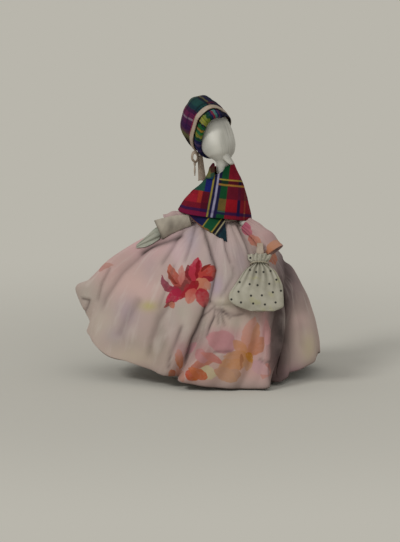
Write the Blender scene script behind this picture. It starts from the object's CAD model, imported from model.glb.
"""Clay pipe doll: a clay tobacco pipe stood on end and dressed in scraps of cloth.

Every piece is worked out in millimetres round the pipe's stem, +Z up, with the doll
facing a little to the right of -Y, and is put in its place in metres at the end."""

import math

import bmesh
import bpy
import numpy as np
from bpy.props import FloatProperty, IntProperty, PointerProperty, StringProperty
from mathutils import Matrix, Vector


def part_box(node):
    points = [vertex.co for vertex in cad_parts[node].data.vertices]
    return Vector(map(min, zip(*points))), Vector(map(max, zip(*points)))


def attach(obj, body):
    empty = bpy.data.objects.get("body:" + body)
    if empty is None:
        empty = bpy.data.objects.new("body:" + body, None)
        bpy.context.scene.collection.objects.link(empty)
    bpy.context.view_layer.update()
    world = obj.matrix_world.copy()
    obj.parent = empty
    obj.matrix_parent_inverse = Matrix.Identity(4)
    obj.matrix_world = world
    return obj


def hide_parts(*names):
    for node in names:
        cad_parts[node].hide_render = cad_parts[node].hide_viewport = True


bl_info = {
    "name": "Clay Pipe Doll",
    "version": (1, 0, 0),
    "blender": (4, 5, 0),
    "location": "View3D > Sidebar > Doll",
    "description": "Dresses an upturned clay pipe as a doll",
    "category": "Add Mesh",
}

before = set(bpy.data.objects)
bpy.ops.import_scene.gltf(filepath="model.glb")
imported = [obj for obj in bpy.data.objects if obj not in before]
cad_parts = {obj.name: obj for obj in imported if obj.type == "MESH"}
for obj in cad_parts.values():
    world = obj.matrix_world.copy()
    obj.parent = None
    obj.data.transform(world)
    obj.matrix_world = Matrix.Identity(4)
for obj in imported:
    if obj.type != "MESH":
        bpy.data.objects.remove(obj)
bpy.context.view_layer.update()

TAU = 2 * math.pi
MM = 0.001
FACING = math.radians(30)
BOWL_LEAN = math.radians(42)
BONNET_LEAN = math.radians(64)
SEAT_GAP = 0.3
SLIP_GAP = 0.5
# The front view that prints and creases are measured on: one step of it in millimetres,
# its steps across and down, the place on it of the stem's foot, and where it looks from
VIEW_STEP = 0.694
VIEW_SIZE = (400, 542)
VIEW_FOOT = (222.5, 373.0)
VIEW_TILT = math.radians(10)
VIEW_FROM = np.array([0.0, -0.985, 0.174])
# How close a quarter turn comes to its end, where a power of its cosine is still smooth
NEARLY = 1e-7


def stem_place():
    """Middle of the waist thread, which is wound round the stem, in metres."""
    low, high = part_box("waist_thread")
    return (low[0] + high[0]) / 2, (low[1] + high[1]) / 2


STEM_X, STEM_Y = stem_place()


# Numbers and curves
def linear(code):
    """sRGB hex to a linear colour with alpha 1."""
    values = np.array([int(code[i:i + 2], 16) for i in (1, 3, 5)]) / 255
    low = values / 12.92
    high = ((values + 0.055) / 1.055) ** 2.4
    return (*np.where(values <= 0.04045, low, high).tolist(), 1.0)


def smoothstep(low, high, x):
    """Rises from 0 at low to 1 at high as 3t^2 - 2t^3."""
    t = np.clip((np.asarray(x, float) - low) / (high - low), 0, 1)
    return t * t * (3 - 2 * t)


def bump(x, middle, half_width):
    """Bell curve exp(-((x - middle) / half_width)^2)."""
    return np.exp(-(((x - middle) / half_width) ** 2))


def table(rows, place, column=1, closed=False):
    """Cubic Hermite curve through rows (place, value, ...), with each slope taken from
    the rows on both sides; a closed table repeats every 360."""
    rows = np.asarray(rows, float)
    keys, values = rows[:, 0], rows[:, column]
    place = np.asarray(place, float)
    if closed:
        place = keys[0] + np.mod(place - keys[0], 360)
        keys = np.concatenate([keys[-2:] - 360, keys, keys[:2] + 360])
        values = np.concatenate([values[-2:], values, values[:2]])
    slope = np.empty_like(values)
    slope[1:-1] = (values[2:] - values[:-2]) / (keys[2:] - keys[:-2])
    slope[0] = (values[1] - values[0]) / (keys[1] - keys[0])
    slope[-1] = (values[-1] - values[-2]) / (keys[-1] - keys[-2])
    i = np.clip(np.searchsorted(keys, place, "right") - 1, 0, len(keys) - 2)
    span = keys[i + 1] - keys[i]
    t = (place - keys[i]) / span
    rise = t * t * (3 - 2 * t)
    leave = t * (1 - t) ** 2 * slope[i] * span
    arrive = t * t * (t - 1) * slope[i + 1] * span
    return values[i] + (values[i + 1] - values[i]) * rise + leave + arrive


def route(points, s, closed=False):
    """Centripetal Catmull-Rom curve through points, read at shares s of its steps."""
    points = np.asarray(points, float)
    count = len(points)
    steps = count if closed else count - 1
    x = np.clip(np.asarray(s, float), 0, 1) * steps
    i = np.clip(np.floor(x).astype(int), 0, steps - 1)
    t = (x - i)[..., None]
    if closed:
        p = [points[(i + k) % count] for k in (-1, 0, 1, 2)]
    else:
        longer = np.concatenate([[2 * points[0] - points[1]], points, [2 * points[-1] - points[-2]]])
        p = [longer[i + k] for k in range(4)]
    chords = [np.linalg.norm(p[k + 1] - p[k], axis=-1, keepdims=True) for k in range(3)]
    gap = [np.maximum(chord ** 0.5, 1e-4) for chord in chords]
    first = (p[1] - p[0]) / gap[0] - (p[2] - p[0]) / (gap[0] + gap[1]) + (p[2] - p[1]) / gap[1]
    last = (p[2] - p[1]) / gap[1] - (p[3] - p[1]) / (gap[1] + gap[2]) + (p[3] - p[2]) / gap[2]
    first, last = first * gap[1], last * gap[1]
    bend = 3 * (p[2] - p[1]) - 2 * first - last
    twist = 2 * (p[1] - p[2]) + first + last
    return p[1] + first * t + bend * t ** 2 + twist * t ** 3


def unit(v):
    """Each vector divided by its length."""
    return v / np.maximum(np.linalg.norm(v, axis=-1, keepdims=True), 1e-9)


def once_round(count):
    """Angles of so many even steps once round."""
    return np.linspace(0, TAU, count, endpoint=False)


def squared_off(x, power):
    """The size of x raised to a power with its sign kept, which squares off a circle."""
    return np.sign(x) * np.abs(x) ** power


def walked_along(line):
    """Length walked along a line to each of its points."""
    return np.concatenate([[0], np.cumsum(np.linalg.norm(np.diff(line, axis=0), axis=-1))])


def across_and_along(points, s, across, closed=False):
    """Place, width direction and thickness direction of a route at shares s."""
    step = 1e-4
    centre = route(points, s, closed)
    if closed:
        along = unit(route(points, (s + step) % 1, True) - route(points, (s - step) % 1, True))
    else:
        along = unit(route(points, np.minimum(s + step, 1)) - route(points, np.maximum(s - step, 0)))
    across = np.broadcast_to(np.asarray(across, float), along.shape)
    wide = unit(across - along * np.sum(across * along, axis=-1, keepdims=True))
    return centre, wide, np.cross(along, wide)


def facing(distance):
    """A place that far in front of the stem, level."""
    return distance * np.array([math.sin(FACING), -math.cos(FACING), 0.0])


def leaning_back(lean):
    """Direction that leans back from straight up by an angle."""
    return facing(-math.sin(lean)) + np.array([0, 0, math.cos(lean)])


def front_view(points):
    """Across and down on the front view, tipped forward by the view's tilt."""
    up = math.cos(VIEW_TILT) * points[..., 2] + math.sin(VIEW_TILT) * points[..., 1]
    return VIEW_FOOT[0] + points[..., 0] / VIEW_STEP, VIEW_FOOT[1] - up / VIEW_STEP


# Fine unevenness of cloth and clay: a sum of slanted waves, the same each run
WAVES = (
    (0.9, 0.35, 0.2, 0.0), (-0.5, 1.1, 0.3, 1.7), (1.7, -0.8, 0.6, 4.0), (0.4, 2.1, -1.1, 2.6),
    (-2.3, 0.7, 1.4, 5.1),
)


def uneven(points, size):
    """Sum of sine waves of falling height with the first about size mm long."""
    total = np.zeros(points.shape[:-1])
    for k, (x, y, z, phase) in enumerate(WAVES):
        total += np.sin(TAU / size * (points @ np.array([x, y, z])) + phase) / (1 + 0.6 * k)
    return total / 2.2


# Meshes
def normals(points, wrapped):
    """Unit normals of a grid of rows and columns, from differences on both sides."""
    down = np.gradient(points, axis=0)
    if wrapped:
        side = (np.roll(points, -1, 1) - np.roll(points, 1, 1)) / 2
    else:
        side = np.gradient(points, axis=1)
    across = np.cross(side, down)
    length = np.linalg.norm(across, axis=-1, keepdims=True)
    hub = points - points.mean(axis=1, keepdims=True)
    return np.where(length > 1e-7, across / np.maximum(length, 1e-9), unit(hub))


def outward(points):
    """Normals of a wrapped grid, turned away from the middles of its rows."""
    out = normals(points, True)
    hub = points - points.mean(axis=1, keepdims=True)
    return out * np.sign(np.sum(out * hub) or 1)


def grid_faces(rows, columns, wrap_rows, wrap_columns):
    """Vertex and UV indices of the quads of a grid, wrapped or open each way."""
    i, j = np.meshgrid(
        np.arange(rows if wrap_rows else rows - 1),
        np.arange(columns if wrap_columns else columns - 1),
        indexing="ij",
    )
    i, j = i.ravel(), j.ravel()
    corners = ((i, j), (i, j + 1), (i + 1, j + 1), (i + 1, j))
    vertex = np.stack([(a % rows) * columns + b % columns for a, b in corners], axis=1)
    chart = np.stack([a * (columns + 1) + b for a, b in corners], axis=1)
    return vertex, chart


def closed_volume(points, faces):
    """Six times the volume inside quads, by the sum of corner triple products."""
    a, b, c, d = (points[faces[:, k]] for k in range(4))
    return np.sum(a * np.cross(b, c)) + np.sum(a * np.cross(c, d))


def chart_of(u, v):
    """UV pairs of a grid with one column and one row more than its vertices."""
    return np.stack(np.broadcast_arrays(u, v), axis=-1)


def round_chart(around, columns, down):
    """UV of a wrapped grid: its columns over a length round it, by places down it."""
    return chart_of(np.linspace(0, around, columns + 1)[None, :], np.reshape(down, (-1, 1)))


def grid_part(points, chart, wrap_rows=False, wrap_columns=False, caps=False, values=None):
    """A grid of points as arrays for one mesh; caps close a folded panel's two ends."""
    rows, columns = points.shape[:2]
    faces, chart_faces = grid_faces(rows, columns, wrap_rows, wrap_columns)
    if caps:
        j = np.arange(columns // 2 - 1)
        strip = np.stack([j, j + 1, columns - 2 - j, columns - 1 - j], axis=1)
        last = rows - 1
        faces = np.concatenate([faces, strip[:, ::-1], strip + last * columns])
        chart_faces = np.concatenate([chart_faces, strip[:, ::-1], strip + last * (columns + 1)])
    flat = points.reshape(-1, 3)
    if closed_volume(flat, faces) < 0:
        faces, chart_faces = faces[:, ::-1], chart_faces[:, ::-1]
    spread = {}
    for key, value in (values or {}).items():
        inner = np.shape(value)[2:]
        spread[key] = np.broadcast_to(value, (rows, columns) + inner).reshape(-1, *inner)
    return flat, faces, chart.reshape(-1, 2)[chart_faces], spread


def mesh_of(name, points, faces):
    """A mesh of points and quads, smooth shaded."""
    mesh = bpy.data.meshes.new(name)
    mesh.vertices.add(len(points))
    mesh.vertices.foreach_set("co", points.ravel())
    mesh.loops.add(faces.size)
    mesh.loops.foreach_set("vertex_index", faces.ravel())
    mesh.polygons.add(len(faces))
    mesh.polygons.foreach_set("loop_start", np.arange(0, faces.size, 4))
    mesh.polygons.foreach_set("use_smooth", np.full(len(faces), True))
    mesh.update(calc_edges=True)
    return mesh


def linked_object(name, data):
    """An object of a mesh, lamp or lens, in the scene."""
    thing = bpy.data.objects.new(name, data)
    bpy.context.scene.collection.objects.link(thing)
    return thing


def make_piece(name, parts, material, body, node, weld=False):
    """One mesh object from grid parts, in place, riding on its body. Welding joins the
    points that meet at a closed end."""
    starts = np.cumsum([0] + [len(part[0]) for part in parts[:-1]])
    points = np.concatenate([part[0] for part in parts]) * MM + np.array([STEM_X, STEM_Y, 0])
    faces = np.concatenate([part[1] + start for part, start in zip(parts, starts)])
    chart = np.concatenate([part[2] for part in parts])
    mesh = mesh_of(name, points, faces)
    layer = mesh.uv_layers.new(name="cloth")
    layer.uv.foreach_set("vector", chart.astype(np.float32).ravel())
    for key in parts[0][3]:
        numbers = np.concatenate([part[3][key] for part in parts]).astype(np.float32)
        kind, field = ("FLOAT", "value") if numbers.ndim == 1 else ("FLOAT_VECTOR", "vector")
        mesh.attributes.new(key, kind, "POINT").data.foreach_set(field, numbers.ravel())
    if weld:
        shape = bmesh.new()
        shape.from_mesh(mesh)
        bmesh.ops.remove_doubles(shape, verts=shape.verts, dist=1e-7)
        shape.to_mesh(mesh)
        shape.free()
    mesh.validate()
    mesh.materials.append(material)
    piece = linked_object(name, mesh)
    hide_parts(node)
    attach(piece, body)
    return piece


def rounded_edge(count, whole):
    """Shares 0 to 1 with an extra step close to each end, for a soft rim."""
    inner = np.linspace(0, 1, count)
    return np.unique(np.concatenate([[0, whole], inner[1:-1], [1 - whole, 1]]))


def wall_shares(count, thin=0.3):
    """How thick a wall is from edge to edge: thin at the very ends."""
    shares = np.ones(count)
    shares[0] = shares[-1] = thin
    return shares


def cloth_tube(points, wall, chart, values=None):
    """A wrapped sheet with a wall: its outer rows, then its inner rows on the way back."""
    half = normals(points, True) * (wall / 2 * wall_shares(len(points)))[:, None, None]
    loop = np.concatenate([points + half, (points - half)[::-1]])
    chart = chart[:len(points)]
    charts = np.concatenate([chart, chart[::-1], chart[:1]])
    extra = {key: np.concatenate([v, v[::-1]]) for key, v in (values or {}).items()}
    return grid_part(loop, charts, wrap_rows=True, wrap_columns=True, values=extra)


def cloth_panel(points, wall, chart, values=None):
    """An open sheet with a wall: each row goes out along the face and back behind it."""
    rows, columns = points.shape[:2]
    thin = np.minimum(wall_shares(rows)[:, None], wall_shares(columns)[None, :])
    half = normals(points, False) * (wall / 2 * thin)[..., None]
    loop = np.concatenate([points + half, (points - half)[:, ::-1]], axis=1)
    chart = chart[:rows, :columns]
    charts = np.concatenate([chart, chart[:, ::-1], chart[:, :1]], axis=1)
    extra = {key: np.concatenate([v, v[:, ::-1]], axis=1) for key, v in (values or {}).items()}
    return grid_part(loop, charts, wrap_columns=True, caps=True, values=extra)


def capped_tube(rings, chart, values=None):
    """A tube of rings whose first and last ring are drawn in to their middles."""
    ends = [np.repeat(ring.mean(axis=0)[None, None], rings.shape[1], 1) for ring in (rings[0], rings[-1])]
    rings = np.concatenate([ends[0], rings, ends[1]])
    chart = np.concatenate([chart[:1], chart, chart[-1:]])
    if values:
        values = {key: np.concatenate([v[:1], v, v[-1:]]) for key, v in values.items()}
    return grid_part(rings, chart, wrap_columns=True, values=values)


# Seating one cloth on another
def throwaway(name, points, quads):
    """A passing object of a grid of points in millimetres, its quads facing outwards."""
    flat = points.reshape(-1, 3)
    if len(quads):
        a, b, c = (flat[quads[:, k]] for k in range(3))
        if np.sum(np.cross(b - a, c - b) * (a - flat.mean(axis=0))) < 0:
            quads = quads[:, ::-1]
    return linked_object(name, mesh_of(name, flat, quads))


def seated(points, ground, gap, reach=7.0):
    """Points that lie just inside another wrapped surface, lifted to a gap outside it by
    Shrinkwrap. Points above that surface, or deeper than the reach, stay."""
    below = throwaway("ground", ground, grid_faces(*ground.shape[:2], False, True)[0])
    above = throwaway("laid", points, np.zeros((0, 4), int))
    wrap = above.modifiers.new("seat", "SHRINKWRAP")
    wrap.target = below
    wrap.wrap_method = "NEAREST_SURFACEPOINT"
    wrap.wrap_mode = "OUTSIDE"
    wrap.offset = gap
    laid = above.evaluated_get(bpy.context.evaluated_depsgraph_get())
    moved = np.empty(points.size, np.float32)
    laid.data.vertices.foreach_get("co", moved)
    for thing in (below, above):
        mesh = thing.data
        bpy.data.objects.remove(thing)
        bpy.data.meshes.remove(mesh)
    moved = moved.reshape(points.shape).astype(float)
    depth = np.linalg.norm(moved - points, axis=-1)
    below_top = smoothstep(-1.0, 1.0, ground[..., 2].max() - 1.5 - points[..., 2])
    share = (1 - smoothstep(0.7 * reach, reach, depth)) * below_top
    return points + (moved - points) * share[..., None]


def line_distance(x, y, points):
    """Distance to a drawn line, the share of its length there, and which side it is on."""
    points = np.asarray(points, float)
    lengths = np.linalg.norm(np.diff(points, axis=0), axis=1)
    walked = walked_along(points) / lengths.sum()
    best = np.full(x.shape, 1e9)
    share = np.zeros(x.shape)
    side = np.zeros(x.shape)
    for k, length in enumerate(lengths):
        (ax, ay), (bx, by) = points[k], points[k + 1]
        ux, uy = (bx - ax) / length, (by - ay) / length
        t = np.clip((x - ax) * ux + (y - ay) * uy, 0, length)
        dx, dy = x - ax - t * ux, y - ay - t * uy
        distance = np.hypot(dx, dy)
        closer = distance < best
        best = np.where(closer, distance, best)
        share = np.where(closer, walked[k] + (walked[k + 1] - walked[k]) * t / length, share)
        side = np.where(closer, np.sign(dx * uy - dy * ux), side)
    return best, share, side


def creased(points, out, facing_share, creases):
    """Moves a surface in along drawn creases, exp(-(d/w)^2) deep and tapered at both
    ends, raises the cloth on one side of each, and returns the shade they hold."""
    x, y = front_view(points)
    height = np.zeros(x.shape)
    shade = np.zeros(x.shape)
    for half_width, depth, proud, dark, line in creases:
        distance, share, side = line_distance(x, y, line)
        taper = smoothstep(0, 0.12, share) * smoothstep(0, 0.15, 1 - share) * facing_share
        height -= depth * bump(distance, 0, half_width) * taper
        height += proud * bump(distance, half_width, 2.5 * half_width) * taper * (side > 0)
        shade += dark * bump(distance, 0, 1.3 * half_width) * taper
    return points + out * height[..., None], np.clip(shade, 0, 1)


def washed(x, y, ground, washes):
    """Colour of soft washes laid over a ground colour: each an oval that fades out as
    exp(-(x/a)^2 - (y/b)^2)."""
    colour = np.broadcast_to(np.array(linear(ground)[:3]), x.shape + (3,))
    for cx, cy, a, b, tone, strength in washes:
        share = strength * np.exp(-(((x - cx) / a) ** 2) - ((y - cy) / b) ** 2)
        colour = colour + (np.array(linear(tone)[:3]) - colour) * share[..., None]
    return colour


def striped(x, stripes, soft):
    """Colour of stripes (start, tone) read at x, with each edge soft to both sides."""
    starts = np.array([start for start, _ in stripes[1:]], float)
    tones = np.array([linear(tone)[:3] for _, tone in stripes])
    keys = np.stack([starts - soft, starts + soft], axis=1).ravel()
    values = np.stack([tones[:-1], tones[1:]], axis=1).reshape(-1, 3)
    return np.stack([np.interp(x, keys, values[:, c]) for c in range(3)], axis=-1)


def patched(colour, x, y, patches, soft):
    """Lays rectangles (x from, to, y from, to, tone, strength) over a colour."""
    for x0, x1, y0, y1, tone, strength in patches:
        inside = smoothstep(x0 - soft, x0 + soft, x) * smoothstep(-x1 - soft, -x1 + soft, -x)
        inside = inside * smoothstep(y0 - soft, y0 + soft, y) * smoothstep(-y1 - soft, -y1 + soft, -y)
        share = (strength * inside)[..., None]
        colour = colour * (1 - share) + np.array(linear(tone)[:3]) * share
    return colour


# Materials
def add(tree, kind, inputs=(), stops=(), **settings):
    """Adds a node with its settings, the colour stops of a ramp, and its inputs: a
    socket is linked and anything else is set."""
    node = tree.nodes.new(kind)
    for name, value in settings.items():
        setattr(node, name, value)
    for i, (place, colour) in enumerate(stops):
        element = node.color_ramp.elements[i] if i < 2 else node.color_ramp.elements.new(place)
        element.position = place
        element.color = colour
    for key, value in dict(inputs).items():
        if isinstance(value, bpy.types.NodeSocket):
            tree.links.new(value, node.inputs[key])
        else:
            node.inputs[key].default_value = value
    return node


def new_material(name):
    """An empty node material with its shader joined to the output."""
    material = bpy.data.materials.new(name)
    material.use_nodes = True
    tree = material.node_tree
    tree.nodes.clear()
    output = tree.nodes.new("ShaderNodeOutputMaterial")
    shader = tree.nodes.new("ShaderNodeBsdfPrincipled")
    tree.links.new(shader.outputs["BSDF"], output.inputs["Surface"])
    return material, tree, shader


def layered(tree, body, *layers):
    """Socket of a colour with others laid over it in turn, each a share and a tone."""
    for share, tone in layers:
        body = add(tree, "ShaderNodeMix", {0: share, 6: body, 7: tone}, data_type="RGBA").outputs[2]
    return body


def worked_out(tree, known, *steps):
    """Sockets of a formula, step by step: each step's name, its operation and its
    values, which are numbers or the names of what is known by then. A range takes a
    value from its first two limits to its last two, evenly or softly."""
    ranges = {"RANGE": "LINEAR", "SOFT_RANGE": "SMOOTHSTEP"}
    known = dict(known)
    for name, operation, *values in steps:
        inputs = {i: known.get(value, value) for i, value in enumerate(values)}
        if operation in ranges:
            node = add(tree, "ShaderNodeMapRange", inputs, interpolation_type=ranges[operation])
        else:
            node = add(tree, "ShaderNodeMath", inputs, operation=operation)
        known[name] = node.outputs[0]
    return known


def mottle(tree, place, size_mm, low, high):
    """Socket of a noise with blotches size_mm across, from low to high."""
    noise = add(tree, "ShaderNodeTexNoise", {"Vector": place, "Scale": 1 / (size_mm * MM), "Detail": 4.0})
    known = {"noise": noise.outputs["Fac"]}
    return worked_out(tree, known, ("blotches", "RANGE", "noise", 0.3, 0.7, low, high))["blotches"]


def rough_grain(tree, shader, place, size_mm, detail, strength, depth_mm):
    """Joins the bump of a grain size_mm across to a shader."""
    grain = add(tree, "ShaderNodeTexNoise", {"Vector": place, "Scale": 1 / (size_mm * MM), "Detail": detail})
    bumpy = add(
        tree, "ShaderNodeBump",
        {"Height": grain.outputs["Fac"], "Strength": strength, "Distance": depth_mm * MM},
    )
    tree.links.new(bumpy.outputs["Normal"], shader.inputs["Normal"])


def ribs(tree, chart, thread_mm, distortion, detail, turn=0.0, direction="X"):
    """Socket of ribs one thread apart, which run across a turned chart."""
    turned = add(tree, "ShaderNodeMapping", {"Vector": chart, "Rotation": (0, 0, turn)}).outputs["Vector"]
    # A wave texture repeats every pi / (10 scale), and UV units are millimetres
    scale = math.pi / (10 * thread_mm)
    return add(
        tree, "ShaderNodeTexWave",
        {"Vector": turned, "Scale": scale, "Distortion": distortion, "Detail": detail},
        bands_direction=direction,
    ).outputs["Fac"]


def woven_cloth(name, dyed, dark, thread_mm, depth_mm, roughness, sheen, twill=0.0):
    """Material of a cloth: its dye, which is a function of tree, UV chart and place, goes
    dark where its shade says, and its threads cross as ribs, slanted for a twill."""
    material, tree, shader = new_material(name)
    chart = add(tree, "ShaderNodeUVMap", uv_map="cloth").outputs["UV"]
    place = add(tree, "ShaderNodeTexCoord").outputs["Object"]
    shade = add(tree, "ShaderNodeAttribute", attribute_name="shade").outputs["Fac"]
    body = layered(tree, dyed(tree, chart, place), (shade, linear(dark)))
    tree.links.new(body, shader.inputs["Base Color"])
    threads = {axis: ribs(tree, chart, thread_mm, 0.6, 1.0, twill, axis) for axis in "XY"}
    crossed = worked_out(tree, threads, ("crossed", "MULTIPLY", "X", "Y"))["crossed"]
    weave = add(tree, "ShaderNodeBump", {"Height": crossed, "Strength": 0.5, "Distance": depth_mm * MM})
    tree.links.new(weave.outputs["Normal"], shader.inputs["Normal"])
    shader.inputs["Roughness"].default_value = roughness
    shader.inputs["Specular IOR Level"].default_value = sheen
    return material


def fired_clay(settings):
    """White ball clay, moulded and fired unglazed: smooth and chalky, with grey kiln
    clouding and fine scrapes that run up the bowl."""
    material, tree, shader = new_material("fired_white_clay_unglazed")
    place = add(tree, "ShaderNodeTexCoord").outputs["Object"]
    length = add(tree, "ShaderNodeUVMap", uv_map="cloth").outputs["UV"]
    # The scrapes are drawn about 1.1 mm apart and 22 mm long
    stretched = add(tree, "ShaderNodeMapping", {"Vector": length, "Scale": (0.9, 0.045, 1)}).outputs["Vector"]
    noise = add(tree, "ShaderNodeTexNoise", {"Vector": stretched, "Scale": 1.0, "Detail": 3.0})
    aged = add(tree, "ShaderNodeAttribute", attribute_name="streak").outputs["Fac"]
    known = worked_out(
        tree, {"noise": noise.outputs["Fac"], "aged": aged},
        ("scrapes", "RANGE", "noise", 0.48, 0.66, 0.0, 0.5),
        ("share", "MULTIPLY", "scrapes", "aged"),
    )
    body = layered(
        tree, add(tree, "ShaderNodeAttribute", attribute_name="wash").outputs["Color"],
        (mottle(tree, place, 14, 0, 0.35), linear(settings.clay_cloud)),
        (known["share"], linear("#5f5a54")),
    )
    tree.links.new(body, shader.inputs["Base Color"])
    rough_grain(tree, shader, place, 0.9, 5.0, 0.25, 0.12)
    shader.inputs["Roughness"].default_value = 0.46
    return material


def wool_twill(name):
    """Fine wool woven in a check: dyed colour from the piece's own stripes, with the
    slant ribs of a twill and a soft nap."""
    slant = math.radians(45)

    def multiplied(tree, colour, tone):
        inputs = {0: 1.0, 6: colour, 7: tone}
        return add(tree, "ShaderNodeMix", inputs, data_type="RGBA", blend_type="MULTIPLY").outputs[2]

    def dyed(tree, chart, place):
        dye = add(tree, "ShaderNodeAttribute", attribute_name="dye").outputs["Color"]
        faded = layered(tree, dye, (mottle(tree, place, 5, 0, 0.3), multiplied(tree, dye, linear("#8a8088"))))
        # The pale fibres show as flecks along the twill, as far apart as its threads
        known = {"rib": ribs(tree, chart, 0.8, 1.5, 2.0, slant)}
        fleck = worked_out(tree, known, ("fleck", "RANGE", "rib", 0.0, 1.0, 0.82, 1.12))["fleck"]
        grey = add(tree, "ShaderNodeCombineColor", {i: fleck for i in range(3)}).outputs[0]
        return multiplied(tree, faded, grey)

    return woven_cloth(name, dyed, "#0c0810", 0.8, 0.25, 0.9, 0.12, slant)


def silk_ribbon(settings):
    """Narrow cream silk ribbon gone tan with age: ribbed across, with a soft shine."""
    def dyed(tree, chart, place):
        aged = (mottle(tree, place, 6, 0, 1), linear(settings.ribbon_aged))
        return layered(tree, linear(settings.ribbon_tone), aged)

    return woven_cloth("cream_silk_ribbon_aged", dyed, "#4a4038", 0.6, 0.15, 0.55, 0.3)


def plain_cotton(name, tone, worn_tone, thread_mm=0.7):
    """Plain woven cotton, washed soft: matte, with uneven yarns and pale creases."""
    def dyed(tree, chart, place):
        return layered(tree, linear(tone), (mottle(tree, place, 9, 0, 1), linear(worn_tone)))

    return woven_cloth(name, dyed, "#3b342e", thread_mm, 0.2, 0.9, 0.15)


def linen_thread():
    """Two-ply linen thread, unbleached: dull, with the slant of its twist."""
    material, tree, shader = new_material("linen_thread_two_ply")
    place = add(tree, "ShaderNodeTexCoord").outputs["Object"]
    body = layered(tree, linear("#a49c86"), (mottle(tree, place, 2, 0, 1), linear("#857c68")))
    tree.links.new(body, shader.inputs["Base Color"])
    rough_grain(tree, shader, place, 0.4, 2.0, 0.6, 0.1)
    shader.inputs["Roughness"].default_value = 0.8
    return material


# Lily petals on the front of the skirt and the right sleeve, in steps of the front view:
# base, tip, half width, how far the petal bows, and its colour at the base and the tip
LILY_PETALS = (
    ((176, 292), (206, 272), 15.0, 0.0, "#7a2a2c", "#8a2a28"),
    ((186, 284), (174, 296), 9.0, 0.0, "#7c2c2c", "#8c2838"),
    ((189, 291), (179, 279), 6.5, 0.0, "#6a3230", "#7a3c38"),
    ((194, 288), (184, 292), 7.2, 0.0, "#842028", "#8c3032"),
    ((181, 287), (170, 263.5), 6, -2.2, "#8e3a34", "#ad6652"),
    ((178, 284), (168, 270), 2.2, -1.8, "#6a1a16", "#96503c"),
    ((181, 285), (182, 264.5), 4.2, 0.6, "#a5544e", "#b08478"),
    ((181, 290), (162.3, 275), 4.7, -6.4, "#861830", "#7c4a54"),
    ((181, 290), (166, 303), 7, -0.6, "#8e1c34", "#aa2c44"),
    ((175, 301), (164, 308), 2.5, 0.4, "#741a1c", "#8a4a42"),
    ((170, 306), (176, 303), 4.2, 0.5, "#ab6a54", "#a8604c"),
    ((191, 281), (188.5, 265), 6.5, 1.2, "#6e1a20", "#741c26"),
    ((195, 283), (198.5, 257.5), 8.3, -0.6, "#9c2834", "#a42c42"),
    ((197, 280), (199.5, 259.5), 2.6, -0.4, "#7a0e18", "#821624"),
    ((199, 279), (216.5, 267), 9.9, 1.0, "#a23a34", "#a23426"),
    ((201, 272), (212, 264.5), 1.8, -1.4, "#6e1a14", "#80281c"),
    ((200, 279), (214.5, 279), 3.9, 0.4, "#8a1826", "#7c1a26"),
    ((197, 279), (206, 292), 8.6, -1.0, "#b07258", "#ac6450"),
    ((206, 281), (210, 290), 4.4, 0.5, "#b0705c", "#b0806c"),
    ((198, 281), (190, 292), 4.9, 0.5, "#7c1018", "#8e1c28"),
    ((198, 285), (179.5, 300), 4.7, 0.8, "#861620", "#92202c"),
    ((195, 288), (188, 304), 6.8, 0.6, "#a6443e", "#b27866"),
    ((199, 288), (205.5, 308.5), 8.1, -0.6, "#920c26", "#b25a56"),
    ((236, 346), (206, 336), 13.8, 0.5, "#ae7e80", "#ac7a7a"),
    ((247, 352), (254, 316), 10.1, -1.0, "#b07a66", "#ba8e82"),
    ((251, 346), (257, 321), 5, 0.6, "#ae765c", "#b4866c"),
    ((247, 353), (263, 336), 8.9, 1.4, "#ae7252", "#ae7a66"),
    ((245, 353), (232, 339), 6.5, 0.6, "#b07850", "#b08068"),
    ((246, 352), (217, 369), 11.5, -1.4, "#ab7548", "#ae8468"),
    ((244, 353), (222, 356), 4.8, 0.6, "#a87450", "#b08870"),
    ((247, 354), (246, 370), 6, -0.6, "#a8724a", "#b08c74"),
    ((241, 353), (240, 368), 1.8, 0.0, "#8c5a3a", "#a07050"),
    ((246, 351), (252, 362), 4.3, 0.0, "#a86a22", "#ac7c3c"),
    ((240, 371), (226, 376), 7.2, 0.0, "#a07a62", "#a88470"),
    ((192, 366), (217, 358), 5.3, -0.8, "#a06454", "#a8705e"),
    ((207, 352), (196, 358), 9, 0.0, "#a47270", "#a67876"),
    ((179, 348), (180, 368), 4.8, 0.0, "#b08078", "#a4642c"),
    ((186, 372), (200, 376), 6.7, 0.5, "#a84a38", "#a25c1e"),
    ((199, 369), (217, 374), 8.4, 0.0, "#b0a07e", "#b0a284"),
    ((174, 368), (170, 377), 4.3, 0.0, "#a05e44", "#a86c50"),
    ((184, 380), (176, 366), 4.8, 0.5, "#a87868", "#b08a7c"),
    ((266, 345), (265, 318), 4.8, 0.3, "#b88a88", "#ba8884"),
    ((262, 378), (267, 362), 6, 0.3, "#ae8074", "#a66e66"),
    ((243, 222), (252, 238), 5.6, 0.5, "#9c4a60", "#a86068"),
    ((248, 236), (262, 246), 6.4, 0.5, "#a86458", "#b08068"),
    ((266, 249), (282, 242), 6.4, 0.5, "#aa7452", "#ad8270"),
    ((268, 248), (275, 266), 6.4, 0.5, "#ac7454", "#a0604c"),
    ((99, 272), (114, 265), 3.8, -2.5, "#a87c74", "#ac8478"),
    ((252, 360), (268, 373), 8.0, 0.5, "#b08a8c", "#b6928e"),
    ((214, 368), (237, 380), 8.0, -0.5, "#a87e66", "#a88468"),
    ((186, 353), (197, 341), 5.0, 0.0, "#b08088", "#ac8080"),
    ((207, 377), (189, 367), 6.0, 0.0, "#a85838", "#a8603c"),
    ((222, 362), (200, 351), 4.6, 0.6, "#a8685c", "#a87068"),
)


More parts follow.
